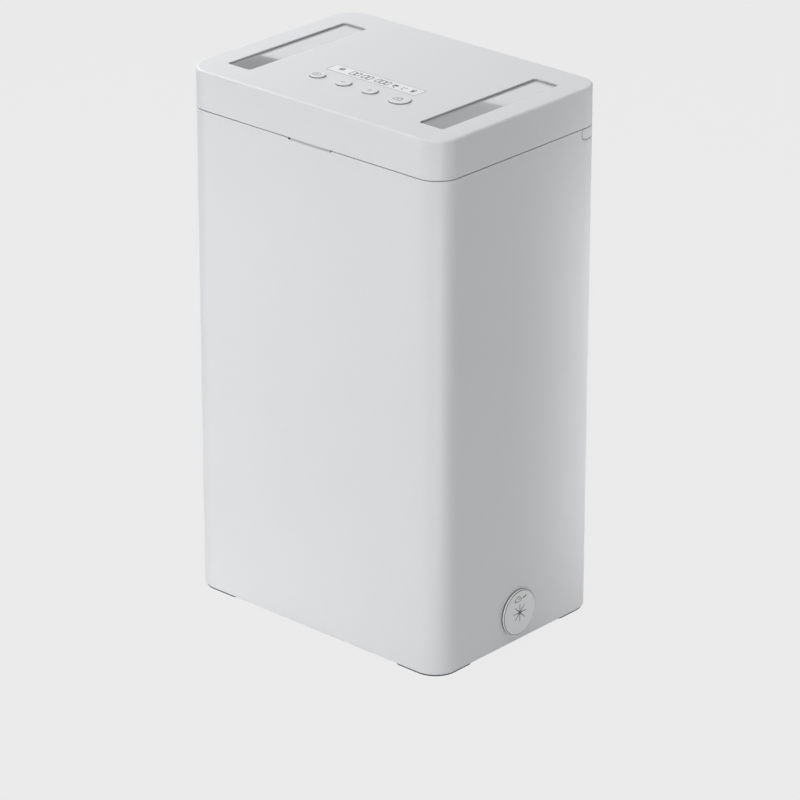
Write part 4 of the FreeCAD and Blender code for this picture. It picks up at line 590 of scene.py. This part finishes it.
class LOCK_CONTAINER_OT_grommet(Build, bpy.types.Operator):
    """Finish the cable grommet and engrave its cable sign"""
    bl_idname = "lock_container.grommet"
    bl_label = "Cable grommet"

    def execute(self, context):
        s, c = sizes(), colours()
        # Soft silicone: paler than the body, even, with a dull skin.
        finish(moulded("Silicone_moulded_grommet", c.silicone, 0.6 * MM, 0.004 * MM, 0.5, 0.01),
               "cable_grommet")
        # An engraved sign lies in its own shade: grey and dull.
        ink = moulded("Ink_mid_grey_engraved", linear("#6F7174"), 0.3 * MM, 0.001 * MM, 0.6)
        # Painted shade: dark matt lines in the open cuts and at the joint round the flange's foot,
        # and a painted shadow line on the flange's rounded rim.
        shadow = moulded("Silicone_painted_shade_lines", linear("#4C4E51"), 0.3 * MM, 0.002 * MM, 0.7)
        low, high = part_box("cable_grommet")
        face, middle, reach = high.x, (low.z + high.z) / 2, (high.z - low.z) / 2
        line = s.sign_stroke * 1.1
        floor, top = -s.film, GROMMET_PROUD

        def on_face(surface):
            """Turn a drawing from its own plane onto the flange: x to +Y, y to +Z, z to +X."""
            points = np.asarray(surface[0], float).reshape(-1, 3)
            return points[:, [2, 0, 1]] + [face, 0, middle], surface[1]
        # A plug with its cord, above the slits, in millimetres.
        plug = np.array([(-4.5, 8.8), (-4.7, 10.0), (-3.7, 10.3), (-2.5, 11.0), (-1.2, 11.3),
                         (0.3, 10.3), (1.5, 9.0), (0.2, 8.0), (-1.8, 7.9), (-3.2, 8.0)])
        weights = np.array([1.1, 0.7, 0.9, 1.3, 1.3, 1.1, 1.5, 0.9, 0.9, 0.7])
        cord = np.array([(2.6, 9.3), (3.9, 9.4), (5.2, 9.7), (6.3, 10.6)])
        signs = [
            stroke(plug * MM, weights * line, floor, top, True),
            dot(-4.2 * MM, 8.6 * MM, 0.7 * MM, floor, top),
            dot(-1.1 * MM, 9.5 * MM, 0.5 * MM, floor, top),
            stroke(cord * MM, np.array([1.6, 2.4, 2.4, 0.8]) * line, floor, top),
        ]
        piece("grommet_sign", [on_face(sign) for sign in signs], ink, "housing")

        # Painted shade in the open lips of the eight slits, widest in the middle.
        lips = []
        for turn in np.radians(np.arange(0, 360, 45)):
            path = np.outer(LIP_PLACES, [math.cos(turn), math.sin(turn)])
            lips.append(stroke(path, LIP_WIDTHS, floor, top))
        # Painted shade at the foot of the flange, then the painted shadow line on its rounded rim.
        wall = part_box("body_shell")[1].x - face
        inner, outer = reach - FOOT_DEPTH, reach + FOOT_PROUD
        foot = turned([(inner, wall), (outer, wall), (outer, wall + FOOT_HEIGHT),
                       (inner, wall + FOOT_HEIGHT)], 64)
        sweep = np.radians(np.linspace(50, 12, 6))
        bends = [np.column_stack([reach - RIM_ROUND + radius * np.sin(sweep),
                                  -RIM_ROUND + radius * np.cos(sweep)])
                 for radius in (RIM_ROUND + GROMMET_PROUD, RIM_ROUND - RIM_LINE)]
        rim = turned(np.vstack([bends[0], bends[1][::-1]]), 64)
        rings = [(ring.reshape(-1, 3), grid_faces(*ring.shape[:2], True, True))
                 for ring in (foot, rim)]
        piece("grommet_painted_shade_lines", [on_face(part) for part in lips + rings], shadow, "housing")
        return {"FINISHED"}


class LOCK_CONTAINER_OT_mechanism(Build, bpy.types.Operator):
    """Finish the lock, the batteries and the electronics inside the lid"""
    bl_idname = "lock_container.mechanism"
    bl_label = "Mechanism"

    def execute(self, context):
        # Acetal is waxy: black with a soft, slightly greasy sheen.
        finish(moulded("Acetal_moulded_black", linear("#2E2F31"), 0.8 * MM, 0.004 * MM, 0.38),
               "lock_frame")
        # Black ABS: duller than acetal, with a finer grain.
        finish(moulded("ABS_moulded_black", linear("#29292B"), 0.6 * MM, 0.006 * MM, 0.45),
               "battery_box", "tact_switches")
        # Milled steel: bright, with cutter lines along the bolt.
        finish(metal("Steel_milled_bolt", linear("#BFC0C3"), 0.28, 0.25 * MM, (0.3, 4, 4),
                     0.004 * MM), "lock_bolt")
        # Hobbed brass: yellow, with lines along the teeth.
        finish(metal("Brass_hobbed_gear", linear("#C9A24F"), 0.3, 0.3 * MM, (4, 0.5, 4),
                     0.003 * MM), "lock_pinion")
        # A drawn can is smooth, with faint rings round it.
        finish(metal("Steel_drawn_motor_can", linear("#B0B2B5"), 0.34, 0.6 * MM, (1, 4, 1),
                     0.003 * MM), "lock_motor")
        # Nickel: warmer and glossier than zinc.
        finish(metal("Nickel_plated_contacts", linear("#C9C4B8"), 0.25, 0.5 * MM, (1, 1, 3),
                     0.003 * MM), "battery_contacts")
        # Shrunk film over steel: dark, shiny and a little cloudy.
        finish(glossy("Film_jacket_cells", linear("#4A4E57"), 0.25, FILM_IOR, 0.5, 0.08, 0.01),
               "battery_cells")
        # Lacquer over copper and glass cloth: green, glossy and patchy.
        finish(glossy("Solder_mask_board", linear("#1E5B3C"), 0.3, FILM_IOR, 0.6, 0.12, 0.004),
               "control_board")
        return {"FINISHED"}


# Screws: CAD node, body it rides on, and the way the screws point.
SCREW_GROUPS = (
    ("rim_screws", "housing", (0, 0, -1)),
    ("striker_screws", "housing", (0, -1, 0)),
    ("hinge_bracket_screws", "housing", (0, 1, 0)),
    ("hinge_band_screws", "lid", (0, 0, 1)),
    ("liner_screws", "lid", (0, 0, 1)),
    ("board_screws", "lid", (0, 0, 1)),
    ("lock_screws", "lid", (0, 0, 1)),
    ("battery_door_screw", "lid", (0, 0, 1)),
)
HEAD_RADIUS, HEAD_HEIGHT, SHANK_RADIUS = 2.3 * MM, 1.6 * MM, 1.25 * MM
# The cross recess: its reach in shares of the head's radius and its depth in shares of the
# head's height. The dome: how far its edge lies under its middle, in shares of the height.
RECESS_REACH, RECESS_DEPTH, DOME = 0.53, 0.6, 0.35
# The thread's depth, the length of the point and how wide its end is in shares of the shank.
THREAD_DEPTH, POINT_LENGTH, POINT_WIDTH = 0.22 * MM, 1.2 * MM, 0.35


def screw_head(recess):
    """Pan head with a cross recess, its seat at height 0 and its top at minus its height.

    A square grid is bent to a disc by x' = x sqrt(1 - y2 / 2), y' = y sqrt(1 - x2 / 2); the
    height falls with the fourth power of the radius, less the depth of the cross.
    """
    edge = recess / 2 / HEAD_RADIUS
    half = np.array([0, edge, edge * 1.25, 0.3, 0.52, 0.56, 0.75, 0.9, 1])
    lines = np.concatenate([-half[:0:-1], half])
    x, y = np.meshgrid(lines, lines)
    bent_x, bent_y = x * np.sqrt(1 - y ** 2 / 2), y * np.sqrt(1 - x ** 2 / 2)
    near, far = np.minimum(abs(x), abs(y)), np.maximum(abs(x), abs(y))
    inside = (near <= edge * 1.01) & (far <= RECESS_REACH)
    height = HEAD_HEIGHT * (1 - DOME * (bent_x ** 2 + bent_y ** 2) ** 2)
    height = np.where(inside, height - RECESS_DEPTH * HEAD_HEIGHT, height)
    top = np.stack([bent_x * HEAD_RADIUS, bent_y * HEAD_RADIUS, -height], -1)
    count = len(lines)
    last = count - 1
    index = np.arange(count * count).reshape(count, count)
    border = np.concatenate([index[0, :last], index[:last, last], index[last, :0:-1],
                             index[:0:-1, 0]])
    rim = top.reshape(-1, 3)[border]
    seat = rim * [1, 1, 0]
    points = np.vstack([top.reshape(-1, 3), seat])
    faces = [tuple(face)[::-1] for face in grid_faces(count, count)]
    around = len(border)
    lower = count * count + np.arange(around)
    ahead = np.roll(np.arange(around), -1)
    sides = np.stack([border, border[ahead], lower[ahead], lower], -1)
    faces += [tuple(face) for face in sides]
    faces.append(tuple(lower))
    return points, faces


def screw_shank(reach, pitch):
    """Threaded shank: the radius swings between crest and root with the angle and height,
    r = crest - depth |2 frac(z / pitch - angle / 2 pi) - 1|, and narrows at the tip."""
    around = np.linspace(0, 2 * math.pi, 18, endpoint=False)
    height = np.linspace(0, reach, int(reach / pitch * 6) + 1)[:, None]
    phase = np.mod(height / pitch - around / (2 * math.pi), 1)
    radius = SHANK_RADIUS - THREAD_DEPTH * abs(2 * phase - 1)
    radius = radius * np.clip((reach - height) / POINT_LENGTH + POINT_WIDTH, POINT_WIDTH, 1)
    rings = np.stack([radius * np.cos(around), radius * np.sin(around),
                      np.broadcast_to(height, radius.shape)], -1)
    return tube(rings)


def screw_axes(node, direction):
    """Centre lines and seat levels of the screws in a CAD group, from its points."""
    points = np.array([v.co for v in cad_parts[node].data.vertices], float)
    along = points @ np.array(direction, float)
    flat_axes = [i for i in range(3) if direction[i] == 0]
    flat = points[:, flat_axes]
    centres = []
    while len(flat):
        near = np.linalg.norm(flat - flat[0], axis=1) < 2.05 * HEAD_RADIUS
        centres.append((flat[near].min(0) + flat[near].max(0)) / 2)
        flat = flat[~near]
    return flat_axes, centres, along.min() + HEAD_HEIGHT, along.max()


class LOCK_CONTAINER_OT_screws(Build, bpy.types.Operator):
    """Build the screws with cross recess and thread in place of their plain solids"""
    bl_idname = "lock_container.screws"
    bl_label = "Screws"

    def execute(self, context):
        s = sizes()
        # Zinc over cold-headed wire: bluish, bright and evenly marked.
        steel = metal("Steel_cold_headed_zinc_plated", linear("#AEB2B8"), 0.3, 0.4 * MM,
                      (1, 1, 1), 0.004 * MM)
        for node, body, direction in SCREW_GROUPS:
            flat_axes, centres, seat, tip = screw_axes(node, direction)
            axis = [i for i in range(3) if direction[i]][0]
            way = direction[axis]
            surfaces = []
            for centre in centres:
                for points, faces in (screw_head(s.recess_width),
                                      screw_shank(tip - seat, s.thread_pitch)):
                    placed = np.zeros_like(points)
                    placed[:, flat_axes[0]] = points[:, 0] + centre[0]
                    placed[:, flat_axes[1]] = points[:, 1] + centre[1]
                    placed[:, axis] = (points[:, 2] + seat) * way
                    # The map keeps the faces' turn only if its own turn is right-handed.
                    turn = way if axis != 1 else -way
                    surfaces.append((placed, faces if turn > 0 else [f[::-1] for f in faces]))
            threaded = piece(node + "_threaded", surfaces, steel, body, 35)
            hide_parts(node)
        return {"FINISHED"}


# ---------------------------------------------------------------------------
# Stage
# ---------------------------------------------------------------------------

# Lamps: name, place and aim in metres, width and height in metres, power in watts, spread in
# degrees, and whether matt surfaces take its light. The right one is kept narrow so that it
# doesn't mark the floor; the edge one shows only in gloss, as a line of light on the corner.
LAMPS = (
    ("front", (0.3, -3.2, 1.0), (0, 0, 0.2), 1.2, 1.0, 22.4, 180, True),
    ("top", (0.2, -0.5, 2.6), (0, 0, 0.3), 1.2, 1.2, 34.8, 180, True),
    ("front_right", (1.95, -1.4, 0.3), (0, 0, 0.2), 0.5, 0.5, 9.0, 180, True),
    ("left", (-0.75, 0.1, 0.8), (0, 0, 0.35), 0.25, 0.25, 3.9, 180, True),
    ("left_low", (-0.4, -0.6, 0.1), (-0.1, -0.075, 0.1), 0.25, 0.18, 0.88, 180, True),
    ("back_right", (0.24, 0.42, 0.17), (0.1, 0.05, 0.17), 0.16, 0.26, 0.29, 180, True),
    ("right", (0.26, 0.13, 0.16), (0.105, 0.13, 0.16), 0.06, 0.3, 0.07, 80, True),
    ("edge", (0.212, -0.172, 0.15), (0.1, -0.07, 0.15), 0.03, 0.3, 0.2, 180, False),
)
# Even light from all round, as a share of full white.
AMBIENT = 0.04

# The camera: focal length in millimetres, shift in shares of the frame width, place and aim in
# metres.
LENS, SHIFT = 197.2, (0.00845, -0.0768)
CAMERA_PLACE, CAMERA_AIM = (1.70427, -1.87488, 1.23627), (0, 0, 0.1765)

# The floor: half its width, its level just under the feet, and how much of its look to the
# eye comes from its own colour rather than from the lamps.
FLOOR_REACH, FLOOR_LEVEL, FLOOR_GLOW = 6, -0.1 * MM, 0.98

# The room that gloss mirrors: a bright wall behind the object, the angles by which its top
# edge is turned and raised, and its light. Over that edge comes a dim light on the side that
# this direction points to, its blend into the dark of the other side, and its strength.
WALL_TURN, WALL_RISE, WALL_LIGHT = math.radians(10.3), math.radians(22.5), 1.22
UPPER_SIDE, UPPER_BLEND, UPPER_LIGHT = (0.74, 0.673, 0), 0.03, 0.43


class LOCK_CONTAINER_OT_stage(Build, bpy.types.Operator):
    """Set the floor, the surroundings, the lamps and the camera"""
    bl_idname = "lock_container.stage"
    bl_label = "Stage"

    def execute(self, context):
        scene = context.scene
        scene.view_settings.view_transform = "Standard"
        self.floor()
        self.surroundings(scene)
        for name, place, aim, width, height, power, spread, lights_matt in LAMPS:
            lamp = bpy.data.lights.new(name, "AREA")
            lamp.shape = "RECTANGLE"
            lamp.size, lamp.size_y, lamp.energy = width, height, power
            lamp.spread = math.radians(spread)
            item = bpy.data.objects.new(name, lamp)
            item.location = place
            item.visible_camera = False
            item.visible_diffuse = lights_matt
            item.rotation_euler = (Vector(aim) - Vector(place)).to_track_quat("-Z", "Y").to_euler()
            scene.collection.objects.link(item)
        view = bpy.data.cameras.new("camera")
        view.lens = LENS
        view.shift_x, view.shift_y = SHIFT
        view.clip_end = 50
        camera = bpy.data.objects.new("camera", view)
        camera.location = CAMERA_PLACE
        aim = Vector(CAMERA_AIM) - camera.location
        camera.rotation_euler = aim.to_track_quat("-Z", "Y").to_euler()
        scene.collection.objects.link(camera)
        scene.camera = camera
        return {"FINISHED"}

    def floor(self):
        """Wide flat sheet that the eye sees nearly as bright as the surroundings."""
        # Matt paper: no gloss at all, so that the object's shadow is all it shows.
        made, tree, shader = new_material("Paper_matt_floor")
        pale = colours().backdrop
        shader.inputs["Base Color"].default_value = shade(pale, 1)
        set_shader(shader, Roughness=1.0, Specular_IOR_Level=0.0)
        path = add(tree, "ShaderNodeLightPath")
        seen = add(tree, "ShaderNodeMath", {0: path.outputs["Is Camera Ray"],
                                            1: path.outputs["Is Glossy Ray"]},
                   operation="MAXIMUM").outputs[0]
        seen = add(tree, "ShaderNodeMath", {0: seen, 1: path.outputs["Is Transmission Ray"]},
                   operation="MAXIMUM").outputs[0]
        share = add(tree, "ShaderNodeMath", {0: seen}, {1: FLOOR_GLOW},
                    operation="MULTIPLY").outputs[0]
        glow = add(tree, "ShaderNodeEmission", None, {"Color": shade(pale, 1), "Strength": 1.0})
        mixed = add(tree, "ShaderNodeMixShader", {0: share, 1: shader.outputs[0],
                                                  2: glow.outputs[0]})
        tree.links.new(mixed.outputs[0], tree.nodes["Material Output"].inputs["Surface"])
        reach = np.linspace(-FLOOR_REACH, FLOOR_REACH, 9)
        x, y = np.meshgrid(reach, reach)
        points = np.stack([x, y, np.full_like(x, FLOOR_LEVEL)], -1).reshape(-1, 3)
        mesh = bpy.data.meshes.new("floor")
        mesh.from_pydata(points.tolist(), [], grid_faces(9, 9).tolist())
        mesh.materials.append(made)
        sheet = bpy.data.objects.new("floor", mesh)
        bpy.context.scene.collection.objects.link(sheet)

    def surroundings(self, scene):
        """Pale room for the eye, even light on the object, and for reflections a bright wall
        behind it whose straight top edge ends about 22 degrees up."""
        world = bpy.data.worlds.new("studio")
        scene.world = world
        world.use_nodes = True
        tree = world.node_tree
        tree.nodes.clear()
        pale = colours().backdrop
        path = add(tree, "ShaderNodeLightPath")
        direction = add(tree, "ShaderNodeTexCoord").outputs["Generated"]
        across = (math.sin(WALL_TURN) * math.sin(WALL_RISE),
                  -math.cos(WALL_TURN) * math.sin(WALL_RISE), math.cos(WALL_RISE))
        side = add(tree, "ShaderNodeVectorMath", {0: direction}, {1: across},
                   operation="DOT_PRODUCT").outputs["Value"]
        above = add(tree, "ShaderNodeMath", {0: side}, {1: 0.0},
                    operation="GREATER_THAN").outputs[0]
        beside = add(tree, "ShaderNodeVectorMath", {0: direction}, {1: UPPER_SIDE},
                     operation="DOT_PRODUCT").outputs["Value"]
        upper = add(tree, "ShaderNodeMapRange", {"Value": beside},
                    {"From Min": -UPPER_BLEND, "From Max": UPPER_BLEND,
                     "To Min": 0.0, "To Max": UPPER_LIGHT})
        mirror = add(tree, "ShaderNodeMix", {"Factor": above, "B": upper.outputs["Result"]},
                     {"A": WALL_LIGHT}, data_type="FLOAT")
        light = add(tree, "ShaderNodeMix", {"Factor": path.outputs["Is Glossy Ray"],
                                            "B": mirror.outputs["Result"]}, {"A": AMBIENT},
                    data_type="FLOAT")
        seen = add(tree, "ShaderNodeMix", {"Factor": path.outputs["Is Camera Ray"],
                                           "A": light.outputs["Result"]}, data_type="RGBA")
        seen.inputs["B"].default_value = shade(pale, 1)
        glow = add(tree, "ShaderNodeBackground", {"Color": seen.outputs["Result"]},
                   {"Strength": 1.0})
        output = add(tree, "ShaderNodeOutputWorld")
        tree.links.new(glow.outputs[0], output.inputs["Surface"])


# ---------------------------------------------------------------------------
# Panel and registration
# ---------------------------------------------------------------------------

OPERATORS = (
    LOCK_CONTAINER_OT_stage,
    LOCK_CONTAINER_OT_housing,
    LOCK_CONTAINER_OT_lid,
    LOCK_CONTAINER_OT_windows,
    LOCK_CONTAINER_OT_display,
    LOCK_CONTAINER_OT_buttons,
    LOCK_CONTAINER_OT_grommet,
    LOCK_CONTAINER_OT_mechanism,
    LOCK_CONTAINER_OT_screws,
)


class LOCK_CONTAINER_PT_panel(bpy.types.Panel):
    """Sizes, colours and one button for each operator"""
    bl_label = "Lock container"
    bl_space_type = "VIEW_3D"
    bl_region_type = "UI"
    bl_category = "Lock container"

    def draw(self, context):
        layout = self.layout
        for group in (context.scene.lock_container_sizes, context.scene.lock_container_colours):
            column = layout.column()
            for name in group.__annotations__:
                column.prop(group, name)
        for operator in OPERATORS:
            layout.operator(operator.bl_idname)


CLASSES = (LockContainerSizes, LockContainerColours) + OPERATORS + (LOCK_CONTAINER_PT_panel,)


def register():
    """Register the classes and hang the properties on the scene."""
    for item in CLASSES:
        bpy.utils.register_class(item)
    scene = bpy.types.Scene
    scene.lock_container_sizes = bpy.props.PointerProperty(type=LockContainerSizes)
    scene.lock_container_colours = bpy.props.PointerProperty(type=LockContainerColours)


def unregister():
    """Undo what register does."""
    del bpy.types.Scene.lock_container_colours
    del bpy.types.Scene.lock_container_sizes
    for item in reversed(CLASSES):
        bpy.utils.unregister_class(item)


def main():
    """Build every piece and the stage."""
    register()
    for operator in OPERATORS:
        group, name = operator.bl_idname.split(".")
        getattr(getattr(bpy.ops, group), name)()


if __name__ == "__main__":
    main()
